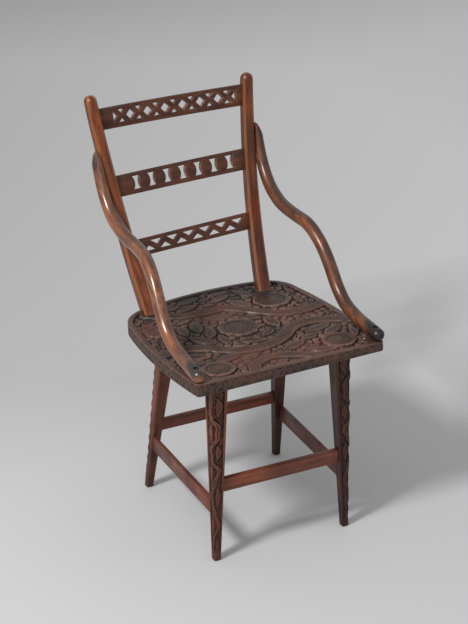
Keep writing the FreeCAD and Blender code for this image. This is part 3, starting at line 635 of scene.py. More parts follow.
# Leaves and sprigs: root, tip and width
leaves = (
    ((-0.834, 0.323), (-0.553, 0.262), 0.028), ((-0.349, 0.681), (-0.413, 0.536), 0.029),
    ((0.277, 0.905), (0.009, 0.852), 0.025), ((-0.186, 0.364), (0.077, 0.312), 0.023),
    ((0.073, 0.169), (0.363, 0.215), 0.030), ((0.077, 0.646), (-0.240, 0.688), 0.031),
    ((0.322, 0.423), (0.290, 0.560), 0.029), ((-0.113, 0.866), (-0.404, 0.820), 0.026),
    ((-0.023, 0.944), (-0.304, 0.911), 0.029), ((-0.562, 0.512), (-0.376, 0.386), 0.029),
    ((-0.580, 0.204), (-0.290, 0.226), 0.029), ((0.458, 0.299), (0.780, 0.338), 0.028),
    ((0.463, 0.820), (0.327, 0.944), 0.025), ((0.327, 0.707), (0.163, 0.842), 0.029),
    ((-0.839, 0.299), (-0.848, 0.156), 0.024), ((-0.639, 0.577), (-0.871, 0.458), 0.031),
    ((0.059, 0.358), (0.254, 0.416), 0.020), ((-0.354, 0.156), (-0.136, 0.195), 0.022),
    ((-0.522, 0.659), (-0.540, 0.531), 0.024), ((-0.286, 0.473), (-0.272, 0.341), 0.022),
    ((0.794, 0.625), (0.812, 0.735), 0.018), ((-0.272, 0.562), (-0.381, 0.453), 0.025),
    ((0.590, 0.236), (0.839, 0.291), 0.027), ((0.277, 0.562), (0.077, 0.616), 0.020),
    ((0.281, 0.100), (0.535, 0.056), 0.024), ((0.834, 0.143), (0.893, 0.254), 0.020),
    ((-0.621, 0.792), (-0.834, 0.738), 0.024), ((-0.272, 0.885), (-0.503, 0.872), 0.020),
    ((0.327, 0.234), (0.558, 0.254), 0.020), ((0.304, 0.935), (0.063, 0.946), 0.023),
    ((-0.336, 0.707), (-0.522, 0.685), 0.017),
)
sprigs = (
    ((-0.141, 0.037), (0.032, 0.067), 0.015), ((0.272, 0.119), (0.449, 0.148), 0.017),
    ((0.082, 0.928), (-0.082, 0.887), 0.017), ((0.045, 0.820), (-0.141, 0.839), 0.017),
    ((0.844, 0.759), (0.816, 0.842), 0.015), ((-0.617, 0.562), (-0.594, 0.486), 0.013),
    ((0.776, 0.436), (0.667, 0.501), 0.015), ((0.685, 0.584), (0.512, 0.620), 0.018),
    ((-0.154, 0.601), (-0.322, 0.577), 0.017), ((-0.281, 0.332), (-0.113, 0.312), 0.018),
    ((0.857, 0.436), (0.898, 0.495), 0.012), ((-0.132, 0.163), (-0.018, 0.202), 0.013),
    ((0.141, 0.666), (0.023, 0.694), 0.012), ((-0.322, 0.915), (-0.440, 0.933), 0.010),
    ((0.358, 0.846), (0.227, 0.846), 0.013), ((0.340, 0.262), (0.435, 0.297), 0.012),
    ((-0.812, 0.824), (-0.834, 0.770), 0.012), ((0.454, 0.440), (0.390, 0.503), 0.014),
    ((-0.526, 0.733), (-0.644, 0.718), 0.010), ((-0.454, 0.117), (-0.404, 0.059), 0.013),
    ((0.757, 0.588), (0.698, 0.636), 0.011), ((-0.771, 0.258), (-0.644, 0.210), 0.016),
    ((-0.884, 0.349), (-0.925, 0.295), 0.011),
)
# Buttons in the room that is left: tries, seed, the room that one needs, its greatest reach and its gap
button_tries, button_seed = 500, 12
button_room, button_reach, button_gap = 0.0080, 0.0085, 0.0010
# Patches of the seat's colour, darker ones and reddish ones: place, radius, strength and colour
seat_patches = (
    ((-0.115, -0.075, 0.43), 0.085, 0.5, "grime_and_shade"), ((0.15, 0.10, 0.41), 0.09, 0.4, "grime_and_shade"),
    ((-0.07, 0.13, 0.41), 0.11, 0.6, "grime_and_shade"), ((0.06, 0.15, 0.41), 0.08, 0.5, "grime_and_shade"),
    ((-0.05, -0.235, 0.44), 0.06, 0.45, "seat_red"), ((0.09, -0.245, 0.44), 0.06, 0.45, "seat_red"),
    ((-0.02, 0.03, 0.42), 0.075, 0.4, "seat_red"), ((-0.17, 0.00, 0.42), 0.05, 0.4, "seat_red"),
    ((0.11, -0.06, 0.43), 0.06, 0.3, "seat_red"),
)
# Rounding of the board's top edge: how deep it drops at the rim and how soon that fades
edge_drop, edge_fade = 0.0012, 0.0011
# How far the carved board keeps inside the frame's own, at its rim and at its underside
rim_gap, underside_gap = 0.0003, 0.0002
# Rows of points down the board's edge, and the length of one wave of the leaves there
wall_rows, wall_wave = 13, 0.027


def carve_seat(seat, points):
    """The board's relief, for points across and back."""
    size = np.array([seat.half_width, seat.depth])
    relief = Relief(points, seat.relief, seat.undercut)
    for number, (root, tip, width) in enumerate(leaves):
        relief.leaf(root * size, tip * size, width, level=0.0002 + 0.0005 * (number % 3))
    for number, (root, tip, width) in enumerate(sprigs):
        relief.leaf(root * size, tip * size, width, level=0.0010 + 0.0004 * (number % 3))
    for corners, width in ribbons:
        relief.ribbon(corners * size, width)
    for number, (centre, radius, petals) in enumerate(rosettes):
        relief.rosette(centre * size, radius, petals, turn=number)
    chance = np.random.default_rng(button_seed)
    for _ in range(button_tries):
        spots = np.flatnonzero(relief.room > button_room)
        if not len(spots):
            break
        spot = chance.choice(spots)
        relief.button(points[spot], min(relief.room[spot], button_reach) - button_gap,
                      level=chance.uniform(0.0014, 0.0022))
    return relief


class SeatOperator(Operator):
    """Carve the seat board: relief over its top and running leaves round its edge"""
    bl_idname = "armchair.seat"
    bl_label = "Carved seat"

    def execute(self, context):
        seat, finish = context.scene.armchair_seat, context.scene.armchair_finish
        posts = context.scene.armchair_posts
        columns, rows = round(2 * seat.half_width / seat.cell), round(seat.depth / seat.cell)
        bpy.ops.mesh.primitive_grid_add(x_subdivisions=columns, y_subdivisions=rows, size=1)
        board = new_piece("seat_carved")
        shares = points_of(board)[:, :2] + 0.5
        sides = seat_sides(seat)
        flat = patch(sides, shares[:, 0], shares[:, 1])
        relief = carve_seat(seat, flat)

        rim = self.rim_distance(sides, flat)
        relief.plain(seat.border - rim)
        for side in (-1, 1):
            relief.plain(-np.maximum(np.abs(flat[:, 0] - side * posts.base_half) - seat.post_pad / 2,
                                     np.abs(flat[:, 1] - posts.base_back) - seat.post_pad / 2))
            relief.plain(-np.maximum(seat.half_width - seat.arm_pad_width - side * flat[:, 0],
                                     flat[:, 1] - seat.arm_pad_length))
        height = relief.height - edge_drop * np.exp(-rim / edge_fade)

        column, row = (np.rint(shares[:, axis] * count).astype(int)
                       for axis, count in ((0, columns), (1, rows)))
        grid = np.zeros((rows + 1, columns + 1))
        grid[row, column] = height
        below_near, below_far = ((blurred(grid, passes) - grid)[row, column] for passes in (3, 14))
        # Near-black in the hollows and along the undercuts: grime and painted shade. Lighter on raised
        # edges and at the rim: wear and painted highlights
        hollow = ease(below_near, 0.0001, 0.0006) * 0.8 + ease(below_far, 0.0004, 0.0018) * 0.85 \
            + relief.shadow
        wear_and_highlight = 0.4 * ease(-below_far, 0.0004, 0.0022) \
            + 0.9 * relief.strength * ease(-below_near, 0.0002, 0.0006) + 0.7 * np.exp(-rim / 0.0022)

        place_points(board, on_seat(seat, np.column_stack([flat, height])))
        paint(board, "hollow", hollow)
        paint(board, "wear_and_highlight", wear_and_highlight)
        self.carve_wall(seat, board, sides)
        smooth(board, 50)
        patches = [(spot, radius, strength, getattr(finish, shade))
                   for spot, radius, strength, shade in seat_patches]
        dress(board, "seat", ["seat_board"],
              wood("Carved oiled wood", finish.seat_light, finish.seat_dark, (1, 0.25, 0), gloss=0.40,
                   streak=0.02, worn_and_highlight=finish.seat_worn_and_highlight, patches=patches))
        return {"FINISHED"}

    def rim_distance(self, sides, flat):
        """Distance of each point from the board's outline."""
        outline = np.concatenate([evenly(path, 260) for path in sides])
        distance = np.full(len(flat), np.inf)
        for point in outline:
            np.minimum(distance, np.hypot(*(flat - point).T), out=distance)
        return np.clip(distance - rim_gap, 0, None)

    def carve_wall(self, seat, board, sides):
        """Extrude the rim down in rows, close the underside, and cut the running leaves."""
        slope, rise = math.sin(seat.tilt), math.cos(seat.tilt)
        step = seat.thickness / wall_rows
        down = Vector((0, -slope, -rise)) * step
        top_count = len(board.data.vertices)
        bpy.ops.object.mode_set(mode="EDIT")
        bpy.ops.mesh.select_mode(type="EDGE")
        bpy.ops.mesh.select_all(action="SELECT")
        bpy.ops.mesh.region_to_loop()
        for _ in range(wall_rows):
            bpy.ops.mesh.extrude_region_move(TRANSFORM_OT_translate={"value": down})
        bpy.ops.mesh.edge_face_add()
        bpy.ops.mesh.select_all(action="SELECT")
        bpy.ops.mesh.normals_make_consistent(inside=False)
        bpy.ops.object.mode_set(mode="OBJECT")

        points = points_of(board)
        wall = points[top_count:]
        behind, above = wall[:, 1] - seat.front, wall[:, 2] - seat.height
        back = behind * rise - above * slope
        below = -behind * slope - above * rise
        drop = np.clip(np.rint((below - edge_drop) / step), 1, wall_rows) / wall_rows
        ring = np.concatenate([evenly(path, 800) for path in
                               (sides[0], sides[3], sides[1][::-1], sides[2][::-1])])
        travel = np.concatenate([[0], np.cumsum(np.linalg.norm(np.diff(ring, axis=0), axis=1))])
        middle = np.array([0, seat.depth / 2])
        bearing = np.arctan2(*(ring - middle).T[::-1])
        order = np.argsort(bearing)
        here = np.arctan2(back - middle[1], wall[:, 0])
        around = np.interp(here, bearing[order], travel[order], period=2 * math.pi)
        ring_way = np.gradient(ring, axis=0)
        normals = np.stack([ring_way[:, 1], -ring_way[:, 0]], axis=1)
        normals /= np.linalg.norm(normals, axis=1)[:, None]
        outward = np.stack([np.interp(here, bearing[order], normals[order, axis], period=2 * math.pi)
                            for axis in (0, 1)], axis=1)
        outward /= np.linalg.norm(outward, axis=1)[:, None]

        cut, shade = self.running_leaves(around, drop)
        depth = seat.thickness - wall[:, 0] * math.tan(seat.roll) - underside_gap
        inset = seat.edge_relief * cut + 0.0010 * np.exp(-((1 - drop) / 0.05) ** 2)
        spot = np.stack([wall[:, 0], back], axis=1) - outward * inset[:, None]
        points[top_count:] = on_seat(seat, np.column_stack(
            [spot, -edge_drop - (depth - edge_drop) * drop]))
        place_points(board, points)
        for name, values in (("hollow", shade), ("wear_and_highlight", 0.35 * (1 - cut) + 0.5 * (drop < 0.12))):
            layer = board.data.attributes[name]
            whole = np.empty(len(board.data.vertices), np.float32)
            layer.data.foreach_get("value", whole)
            whole[top_count:] = values
            layer.data.foreach_set("value", whole)

    def running_leaves(self, around, drop):
        """Depth, from 0 to 1, and shading of slanting leaves along a waving stem."""
        phase = around / wall_wave + 0.22 * np.sin(around / 0.037) + 0.15 * np.sin(around / 0.0113)
        away = np.abs(drop - (0.5 + 0.27 * np.sin(2 * math.pi * phase)))
        stem = ease(0.13 - away, 0, 0.05)
        cell = phase * 2 % 1 - 0.5
        leaf = ease(0.34 - np.abs(cell + 1.3 * (away - 0.3)) - 0.3 * np.abs(away - 0.3), 0, 0.08)
        raised = np.maximum(stem, leaf)
        veins = np.abs(np.sin(8 * math.pi * phase + 16 * away))
        band = ease(drop, 0.06, 0.13) * ease(1 - drop, 0.05, 0.12)
        cut = band * (1 - raised) + 0.12 * band * raised * veins
        return cut, 0.2 + 0.2 * cut


# Square bars: legs and posts


class Bar:
    """A tapered, chamfered bar, with points in columns round it and rows along it."""

    face_steps = 26
    side_steps = face_steps + 2
    columns = 4 * side_steps
    cuts, cut_passes = 15, 2
    rows = (cuts + 1) ** cut_passes

    def __init__(self, name):
        bpy.ops.mesh.primitive_cylinder_add(vertices=self.columns, radius=1, depth=1,
                                            end_fill_type="NGON")
        self.piece = new_piece(name)
        for _ in range(self.cut_passes):
            bpy.ops.object.mode_set(mode="EDIT")
            bpy.ops.mesh.select_mode(type="EDGE")
            bpy.ops.mesh.select_all(action="DESELECT")
            bpy.ops.object.mode_set(mode="OBJECT")
            mesh = self.piece.data
            heights = points_of(self.piece)[:, 2]
            pairs = np.empty(2 * len(mesh.edges), int)
            mesh.edges.foreach_get("vertices", pairs)
            first, second = pairs.reshape(-1, 2).T
            mesh.edges.foreach_set("select", np.abs(heights[first] - heights[second]) > 1e-4)
            bpy.ops.object.mode_set(mode="EDIT")
            bpy.ops.mesh.subdivide(number_cuts=self.cuts)
            bpy.ops.object.mode_set(mode="OBJECT")
        x, y, z = points_of(self.piece).T
        self.column = np.rint(np.arctan2(y, x) / (2 * math.pi) * self.columns).astype(int) % self.columns
        self.along = z + 0.5

    def section(self, width, depth, cut):
        """Each point's place across and back in its section, and its outward direction there."""
        side, step = self.column // self.side_steps, self.column % self.side_steps
        share_on_face = np.clip(step / self.face_steps, 0, 1) * 2 - 1
        ahead = np.where(side % 2 == 0, width, depth) / 2
        aside = (np.where(side % 2 == 0, depth, width) / 2 - cut) * share_on_face
        on_cut = step > self.face_steps
        ahead = np.where(on_cut, ahead - cut / 2, ahead)
        aside = np.where(on_cut, aside + cut / 2, aside)
        turn = side * math.pi / 2
        c, s = np.cos(turn), np.sin(turn)
        normal_turn = turn + np.where(on_cut, math.pi / 4, 0)
        return ahead * c - aside * s, ahead * s + aside * c, np.cos(normal_turn), np.sin(normal_turn)

    def from_corner(self, across, back, width, depth, corner):
        """Signed distance round the bar from a corner, given by its two signs, and infinite elsewhere."""
        sign_x, sign_y = corner
        on_x = np.abs(sign_x * across - width / 2) < 1e-5
        on_y = np.abs(sign_y * back - depth / 2) < 1e-5
        distance = np.full(len(across), np.inf)
        distance[on_x] = (sign_y * back - depth / 2)[on_x]
        distance[on_y] = (width / 2 - sign_x * across)[on_y]
        on_cut = ~on_x & ~on_y & (sign_x * across > 0) & (sign_y * back > 0)
        distance[on_cut] = 0
        return distance

    def grid(self, values):
        """Values as a grid of rows and columns, and each point's row."""
        row = np.rint(self.along * self.rows).astype(int)
        table = np.zeros((self.rows + 1, self.columns))
        table[row, self.column] = values
        return table, row

    def shade(self, cut, scale, arris, lower_darkening=0.0):
        """Paint the hollows dark with dirt and painted shade and the raised parts light with rubbing and
        painted highlights, from how deep each point is cut, with the chamfers rubbed and highlit and any
        extra darkening.
        """
        table, row = self.grid(-cut)
        proud = (table - blurred(table, 10))[row, self.column]
        ground = 0.28 * ease(cut, 0.2 * scale, scale)
        on_cut = self.column % self.side_steps >= self.face_steps
        paint(self.piece, "hollow", ease(-proud, 0.03 * scale, 0.35 * scale) + ground + lower_darkening)
        paint(self.piece, "wear_and_highlight", ease(proud, 0.04 * scale, 0.35 * scale) + arris * on_cut)


# Legs: how much narrower the foot's end is and up to what height, and how far the top keeps off the seat
foot_easing, foot_easing_height, leg_gap = 0.003, 0.0015, 0.0001
# Wear and painted highlight on the legs' chamfers, and how much darker the legs are painted towards the
# floor and up to what height
leg_arris, foot_darkening, darkening_height = 0.3, 0.42, 0.30


class LegsOperator(Operator):
    """Shape the four legs: a winding vine on the front pair, scalloped edges on the back pair"""
    bl_idname = "armchair.legs"
    bl_label = "Carved legs"

    def execute(self, context):
        seat, legs = context.scene.armchair_seat, context.scene.armchair_legs
        finish = context.scene.armchair_finish
        feet = {mount["name"]: mount["pos_m"] for mount in frame["record"]["mounts"]}
        for side_name, side in (("left", -1), ("right", 1)):
            for place, half, back, top_width in (
                    ("front", legs.front_half, legs.front_back, legs.front_width),
                    ("back", legs.back_half, legs.back_back, legs.back_width)):
                node = f"leg_{place}_{side_name}"
                bar = Bar(f"{node}_carved")
                foot = np.array(feet[f"foot_{place}_{side_name}"])
                across = side * half
                under = -seat.thickness + across * math.tan(seat.roll)
                top = on_seat(seat, [(across, back, under)])[0]
                reach = self.top_of(bar, seat, top, top_width, legs)
                height = bar.along * reach
                width = legs.foot_width + (top_width - legs.foot_width) * height / top[2]
                width = width - foot_easing * np.clip(1 - height / foot_easing_height, 0, 1)
                px, py, nx, ny = bar.section(width, width, legs.corner_cut)
                if place == "front":
                    away = bar.from_corner(px, py, width, width, (side, -1))
                    cut, scale = self.vine(legs, away, height, width, side)
                else:
                    away = bar.from_corner(px, py, width, width, (side, 1))
                    cut, scale = self.scallops(legs, away, height, side)
                axis = foot + (top - foot) * (height / top[2])[:, None]
                points = np.column_stack([axis[:, 0] + px - nx * cut, axis[:, 1] + py - ny * cut, height])
                place_points(bar.piece, points)
                bar.shade(cut, scale, leg_arris, foot_darkening * np.clip(1 - height / darkening_height, 0, 1))
                smooth(bar.piece, 38)
                # The right legs are painted darker: painted shade
                light, dark, worn_and_highlight = shaded(finish.right_legs_shade if side > 0 else 1, finish.leg_light,
                                           finish.leg_dark, finish.leg_worn_and_highlight)
                dress(bar.piece, "legs", [node],
                      wood(f"Leg wood {place} {side_name}", light, dark, tuple(top - foot), worn_and_highlight=worn_and_highlight))
        return {"FINISHED"}

    def top_of(self, bar, seat, top, top_width, legs):
        """Height at which each column meets the seat's underside."""
        width = np.full(len(bar.along), top_width)
        px, py, _, _ = bar.section(width, width, legs.corner_cut)
        return top[2] - math.tan(seat.tilt) * py + math.tan(seat.roll) * px - leg_gap

    def vine(self, legs, away, height, width, side):
        """A strap that winds round the outer corner, a leaf in each bend, and two plain margins."""
        scale = legs.vine_share * width
        q = away / width
        start = 0.8 if side > 0 else 2.4
        turn = 2 * math.pi * height / legs.vine_wave + start + 0.45 * np.sin(height / 0.041)
        line = 0.05 + 0.42 * np.sin(turn) + 0.09 * np.sin(2.7 * turn)
        strap = ease(0.21 - np.abs(q - line), 0, 0.06)
        groove = np.exp(-((q - line) / 0.035) ** 2)
        bend = (turn / math.pi) % 1 - 0.5
        leaf_half = 0.25 * np.cos(np.clip(2.5 * bend, -1, 1) * math.pi / 2)
        leaf_line = 0.05 - 0.44 * np.sign(np.sin(turn)) * np.abs(np.sin(turn)) ** 0.4
        leaf = ease(leaf_half - np.abs(q - leaf_line), 0, 0.05) * (1 - strap)
        veins = 0.5 + 0.5 * np.sin(height / 0.0010 + 24 * np.abs(q - leaf_line))
        zone = ease(q, -0.86, -0.78) * ease(0.86 - q, 0, 0.08)
        raised = np.maximum(strap, leaf)
        chips = 0.20 * np.sin(height / 0.0023 + 5 * q) * np.sin(19 * q + height / 0.0071)
        cut = zone * ((1 - raised) * (1 + chips) + 0.34 * strap * groove + 0.30 * leaf * veins
                      + 0.12 * leaf)
        arris = 0.30 * np.exp(-(away / 0.0030) ** 2) * (0.6 + 0.4 * np.sin(height / 0.0036))
        fade = ease(height, 0.006, 0.030)
        cut = scale * np.minimum(cut + arris, 1.15) * fade
        return np.where(np.isfinite(away), cut, 0), np.mean(scale)

    def scallops(self, legs, away, height, side):
        """Hand-cut hollows along the outer back corner."""
        turn = math.pi * height / legs.scallop_pitch + 0.5 * np.sin(height / 0.043 + side)
        hollow = np.abs(np.sin(turn)) ** 1.5 * np.exp(-(away / 0.0065) ** 2)
        fade = ease(height, 0.03, 0.09)
        return np.where(np.isfinite(away), legs.scallop * hollow * fade, 0), legs.scallop


# Posts: points along the line of each, and the share of its length that is fitted to the seat
post_points, fitted_share = 1200, 0.06


class PostsOperator(Operator):
    """Shape the two bowed back posts, with domed tips and notched outer edges"""
    bl_idname = "armchair.posts"
    bl_label = "Back posts"

    def execute(self, context):
        seat, posts = context.scene.armchair_seat, context.scene.armchair_posts
        finish = context.scene.armchair_finish
        for side_name, side in (("left", -1), ("right", 1)):
            bar = Bar(f"back_post_{side_name}_shaped")
            base = on_seat(seat, [(side * posts.base_half, posts.base_back, 0)])[0]
            rise = posts.rise + (posts.left_extra if side < 0 else 0)
            tip = np.array([side * (posts.base_half + posts.flare),
                            seat.front + posts.base_back + posts.rake, seat.height + rise])
            middle = (base + tip) / 2 + [0, posts.bow, 0]
            arc = evenly(circle_through(base, middle, tip, post_points), post_points)
            size = np.linalg.norm(np.diff(arc, axis=0), axis=1).sum()
            share_along = bar.along
            ticks = np.linspace(0, 1, post_points)
            centre, way = (np.stack([np.interp(share_along, ticks, line[:, axis]) for axis in range(3)],
                                    axis=1) for line in (arc, np.gradient(arc, axis=0)))
            way /= np.linalg.norm(way, axis=1)[:, None]
            rear = np.cross(way, [1.0, 0, 0])
            rear /= np.linalg.norm(rear, axis=1)[:, None]
            across = np.cross(rear, way)
            width = posts.base_width + (posts.top_width - posts.base_width) * share_along
            depth = posts.base_depth + (posts.top_depth - posts.base_depth) * share_along
            px, py, nx, ny = bar.section(width, depth, posts.corner_cut)
            away = bar.from_corner(px, py, width, depth, (side, 1))
            run = share_along * size
            notch = np.abs(np.sin(math.pi * run / posts.notch_pitch)) * np.exp(-(away / 0.004) ** 2) \
                * ease(run, 0.01, 0.03) * ease(size - run, 0.05, 0.10)
            notch = np.where(np.isfinite(away), notch, 0)
            cut = posts.notch * notch
            px, py = px - nx * cut, py - ny * cut
            past = run - (size - posts.dome)
            allowed = np.sqrt(np.clip(posts.dome ** 2 - np.clip(past, 0, None) ** 2, 1e-9, None))
            radius = np.hypot(px, py)
            squeeze = np.where(past > 0, np.minimum(1, allowed / radius), 1)
            px, py = px * squeeze, py * squeeze
            points = centre + across * px[:, None] + rear * py[:, None]
            normal = np.array([0, math.sin(seat.tilt), math.cos(seat.tilt)])
            below = (points - base) @ normal
            lift = below * (1 - share_along / fitted_share) / (way @ normal)
            low = share_along < fitted_share
            points = np.where(low[:, None], points - way * lift[:, None], points)
            place_points(bar.piece, points)
            # The chamfers, and more so the domed tips, get wear and painted highlights
            bar.shade(cut, posts.notch, 0.8 + 0.4 * (past > 0))
            smooth(bar.piece, 30)
            # The right post is painted darker: painted shade
            light, dark, worn_and_highlight = shaded(finish.right_post_shade if side > 0 else 1, finish.post_light,
                                       finish.post_dark, finish.worn_and_highlight)
            dress(bar.piece, "posts", [f"back_post_{side_name}"],
                  wood(f"Post wood {side_name}", light, dark, tuple(tip - base), gloss=0.38, coat=0.2,
                       worn_and_highlight=worn_and_highlight))
        return {"FINISHED"}


# Slats and stretchers: eased copies of the frame's own shapes


# Copies: corners nearer than this are one, faces flatter than this are one, and edges sharper are rounded
same_corner, same_face, sharp_edge = 2e-6, math.radians(0.4), math.radians(35)
# Faces of a slat that look more to the sides than this are walls of its openings
wall_facing = 0.3


def eased_copy(node, name, width, segments):
    """A copy of a CAD node, merged, with its sharp edges rounded and without materials."""
    copy = frame["nodes"][node].copy()
    copy.data = copy.data.copy()
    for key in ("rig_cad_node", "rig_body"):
        del copy[key]
    copy.parent = None
    copy.name = name
    copy.data.name = name
    copy.data.materials.clear()
    bpy.context.scene.collection.objects.link(copy)
    select_only(copy)
    bpy.ops.mesh.customdata_custom_splitnormals_clear()
    bpy.ops.object.mode_set(mode="EDIT")
    bpy.ops.mesh.select_all(action="SELECT")
    bpy.ops.mesh.remove_doubles(threshold=same_corner)
    bpy.ops.mesh.dissolve_limited(angle_limit=same_face)
    bpy.ops.object.mode_set(mode="OBJECT")
    bevel = copy.modifiers.new("Eased edges", "BEVEL")
    bevel.width = width
    bevel.segments = segments
    bevel.limit_method = "ANGLE"
    bevel.angle_limit = sharp_edge
    bpy.ops.object.modifier_apply(modifier=bevel.name)
    return copy


class SlatsOperator(Operator):
    """Ease the edges of the three pierced slats"""
    bl_idname = "armchair.slats"
    bl_label = "Pierced slats"

    def execute(self, context):
        edges, finish = context.scene.armchair_edges, context.scene.armchair_finish
        for place in ("top", "middle", "bottom"):
            slat = eased_copy(f"slat_{place}", f"slat_{place}_eased", edges.slat, edges.segments)
            face = wood(f"Slat wood {place}", finish.slat_light, finish.slat_dark, (1, 0.05, 0))
            # Lighter wood on the walls of the openings: painted highlight
            walls = wood(f"Slat openings {place}", finish.slat_cut, finish.slat_light, (0, 1, 0),
                         gloss=0.45)
            smooth(slat, 30)
            dress(slat, "slats", [f"slat_{place}"], face, walls)
            for side in slat.data.polygons:
                side.material_index = int(abs(side.normal.x) > wall_facing)
        return {"FINISHED"}


class StretchersOperator(Operator):
    """Ease the edges of the four stretchers"""
    bl_idname = "armchair.stretchers"
    bl_label = "Stretchers"

    def execute(self, context):
        edges, finish = context.scene.armchair_edges, context.scene.armchair_finish
        for place in ("front", "back", "left", "right"):
            way = (1, 0, 0) if place in ("front", "back") else (0, 1, 0)
            bar = eased_copy(f"stretcher_{place}", f"stretcher_{place}_eased", edges.stretcher,
                             edges.segments)
            smooth(bar, 30)
            dress(bar, "stretchers", [f"stretcher_{place}"],
                  wood(f"Stretcher wood {place}", finish.bar_light, finish.bar_dark, way))
        return {"FINISHED"}


# Arms: side, name, shine of the coat, and how far grime spreads in front of the screw in the foot
arms = ((-1, "left", 0.9, 0.024), (1, "right", 0.35, 0.034))


class ArmsOperator(Operator):
    """Finish the two arms in warm, rubbed wood"""
    bl_idname = "armchair.arms"
    bl_label = "Arms"

    def execute(self, context):
        finish = context.scene.armchair_finish
        for side, side_name, coat, grime_radius in arms:
            low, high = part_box(f"arm_front_screw_{side_name}")
            screw = Vector(((low.x + high.x) / 2, (low.y + high.y) / 2, high.z))
            low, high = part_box(f"arm_top_screw_{side_name}")
            head = Vector((high.x if side > 0 else low.x, (low.y + high.y) / 2, (low.z + high.z) / 2))
            patches = [(screw + Vector((0, -0.007, 0)), grime_radius, 0.92, finish.grime_and_shade),
                       (screw + Vector((0, 0.016, 0.006)), 0.021, 0.9, finish.grime_and_shade),
                       (head, 0.022, 0.6, finish.grime_and_shade)]
            # The left arm's rounded tip gets a lighter patch: wear and a painted highlight
            if side < 0:
                low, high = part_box(f"arm_{side_name}")
                patches.insert(0, ((screw.x, low.y, screw.z - 0.006), 0.017, 0.5, finish.worn_and_highlight))
            # The right arm is painted darker: painted shade
            light, dark = shaded(finish.arm_right if side > 0 else 1, finish.arm_light, finish.arm_dark)
            painted_shade = finish.painted_shade_right if side > 0 else finish.painted_shade_left
            coat_node(f"arm_{side_name}",
                      wood(f"Arm wood {side_name}", light, dark, (0, -0.9, -0.45), gloss=0.36, coat=coat,
                           streak=0.009, dull=painted_shade, patches=patches))
        return {"FINISHED"}


class FittingsOperator(Operator):
    """Finish the screws, the nails and the pin"""
    bl_idname = "armchair.fittings"
    bl_label = "Screws, nails and pin"

    def execute(self, context):
        finish = context.scene.armchair_finish
        iron = metal("Dark iron", tuple(finish.iron), 0.38)
        bright = metal("Dull bright metal", tuple(finish.nickel), 0.3)
        coat_node("stretcher_pin", iron)
        for side in ("left", "right"):
            coat_node(f"arm_top_screw_{side}", iron)
            coat_node(f"arm_front_screw_{side}", iron)
            coat_node(f"arm_nail_{side}", bright)
        return {"FINISHED"}


# Floor: its size, and two directions in which its painted light runs, each from one place to another and
# between two levels: brighter and darker stretches that stand in for the lamps' falloff. The second is
# taken from the first, and the result is held between two limits.
floor_size = 30
floor_side, floor_depth = (0.498, 0.867, 0), (-0.178, 0.984, 0)
side_tone, depth_tone = (0.456, 2.66, 0.921, 1.602), (0.267, 3.572, 0.0, 0.879)
darkest_floor, palest_floor = 0.8, 1.15
# Light: the world's strength, and each lamp's name, place, size and power. The lamps aim at one place.
sky_strength = 0.59
lamps = (("key", (-2.35, -0.85, 3.2), 0.7, 108), ("front", (-0.8, -3.2, 2.6), 1.8, 14))
lit_place = (0, 0, 0.4)
# Camera: the place that it looks at, and its sensor's width in millimetres
seen_place, sensor_width = (-0.00558, -0.04205, 0.450), 36


def aim(thing, way):
    """Turn a lamp or a camera to look in a direction."""
    thing.rotation_euler = way.to_track_quat("-Z", "Y").to_euler()


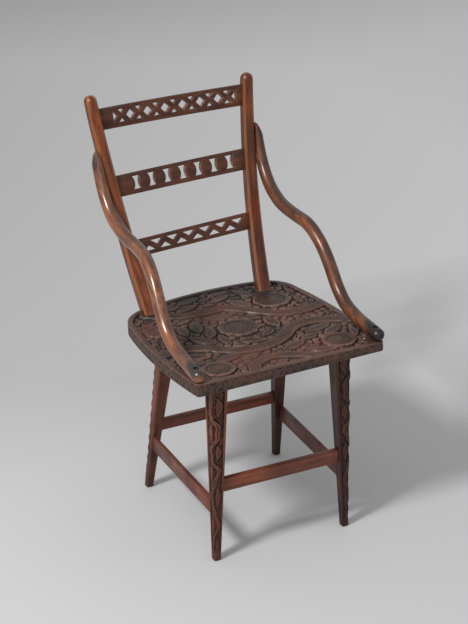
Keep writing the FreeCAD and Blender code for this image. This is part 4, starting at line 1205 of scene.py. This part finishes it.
class StudioOperator(Operator):
    """Set up the floor, the lamps and the camera"""
    bl_idname = "armchair.studio"
    bl_label = "Studio"

    def execute(self, context):
        scene, studio = context.scene, context.scene.armchair_studio
        scene.view_settings.view_transform = "Standard"
        bpy.ops.mesh.primitive_plane_add(size=floor_size)
        floor = new_piece("floor")
        shader = Shader("Studio paper")
        place = shader.position()
        # Painted light on the floor: brighter and darker across it
        level = shader.math("SUBTRACT", shader.band(shader.along(place, floor_side), *side_tone),
                            shader.band(shader.along(place, floor_depth), *depth_tone))
        level = shader.math("MINIMUM", shader.math("MAXIMUM", level, darkest_floor), palest_floor)
        tint = shader.mix(1.0, studio.floor, level, blend="MULTIPLY")
        floor.data.materials.append(shader.finish(Base_Color=tint, Roughness=0.85,
                                                  Specular_IOR_Level=0.1))

        scene.world = scene.world or bpy.data.worlds.new("Studio")
        scene.world.use_nodes = True
        sky = scene.world.node_tree.nodes["Background"]
        sky.inputs["Color"].default_value = (1, 1, 1, 1)
        sky.inputs["Strength"].default_value = sky_strength
        for name, spot, size, power in lamps:
            bpy.ops.object.light_add(type="AREA", location=spot)
            lamp = context.active_object
            lamp.name = f"lamp_{name}"
            lamp.data.shape = "DISK"
            lamp.data.size = size
            lamp.data.energy = power
            aim(lamp, Vector(lit_place) - lamp.location)

        level = math.cos(studio.elevation)
        back = Vector((math.sin(studio.azimuth) * level, -math.cos(studio.azimuth) * level,
                       math.sin(studio.elevation)))
        bpy.ops.object.camera_add(location=Vector(seen_place) + back * studio.distance)
        camera = context.active_object
        aim(camera, -back)
        camera.data.lens = studio.lens
        camera.data.sensor_width = sensor_width
        scene.camera = camera
        return {"FINISHED"}


class ArmchairPanel(Panel):
    """Lists the armchair's pieces and their settings"""
    bl_idname = "VIEW3D_PT_armchair"
    bl_label = "Armchair"
    bl_space_type = "VIEW_3D"
    bl_region_type = "UI"
    bl_category = "Armchair"

    def draw(self, context):
        for name, group in settings.items():
            box = self.layout.box()
            for prop in group.__annotations__:
                box.prop(getattr(context.scene, name), prop)
        for operator in operators:
            self.layout.operator(operator.bl_idname)


settings = {"armchair_seat": SeatSettings, "armchair_legs": LegSettings,
            "armchair_posts": PostSettings, "armchair_edges": EdgeSettings,
            "armchair_finish": FinishSettings, "armchair_studio": StudioSettings}
operators = (StudioOperator, SeatOperator, LegsOperator, PostsOperator, SlatsOperator, StretchersOperator,
             ArmsOperator, FittingsOperator)


def register():
    for made in (*settings.values(), *operators, ArmchairPanel):
        bpy.utils.register_class(made)
    for name, group in settings.items():
        setattr(bpy.types.Scene, name, PointerProperty(type=group))


def unregister():
    for name in settings:
        delattr(bpy.types.Scene, name)
    for made in (ArmchairPanel, *reversed(operators), *reversed(settings.values())):
        bpy.utils.unregister_class(made)


def main():
    register()
    for operator in operators:
        group, name = operator.bl_idname.split(".")
        getattr(getattr(bpy.ops, group), name)()


if __name__ == "__main__":
    main()
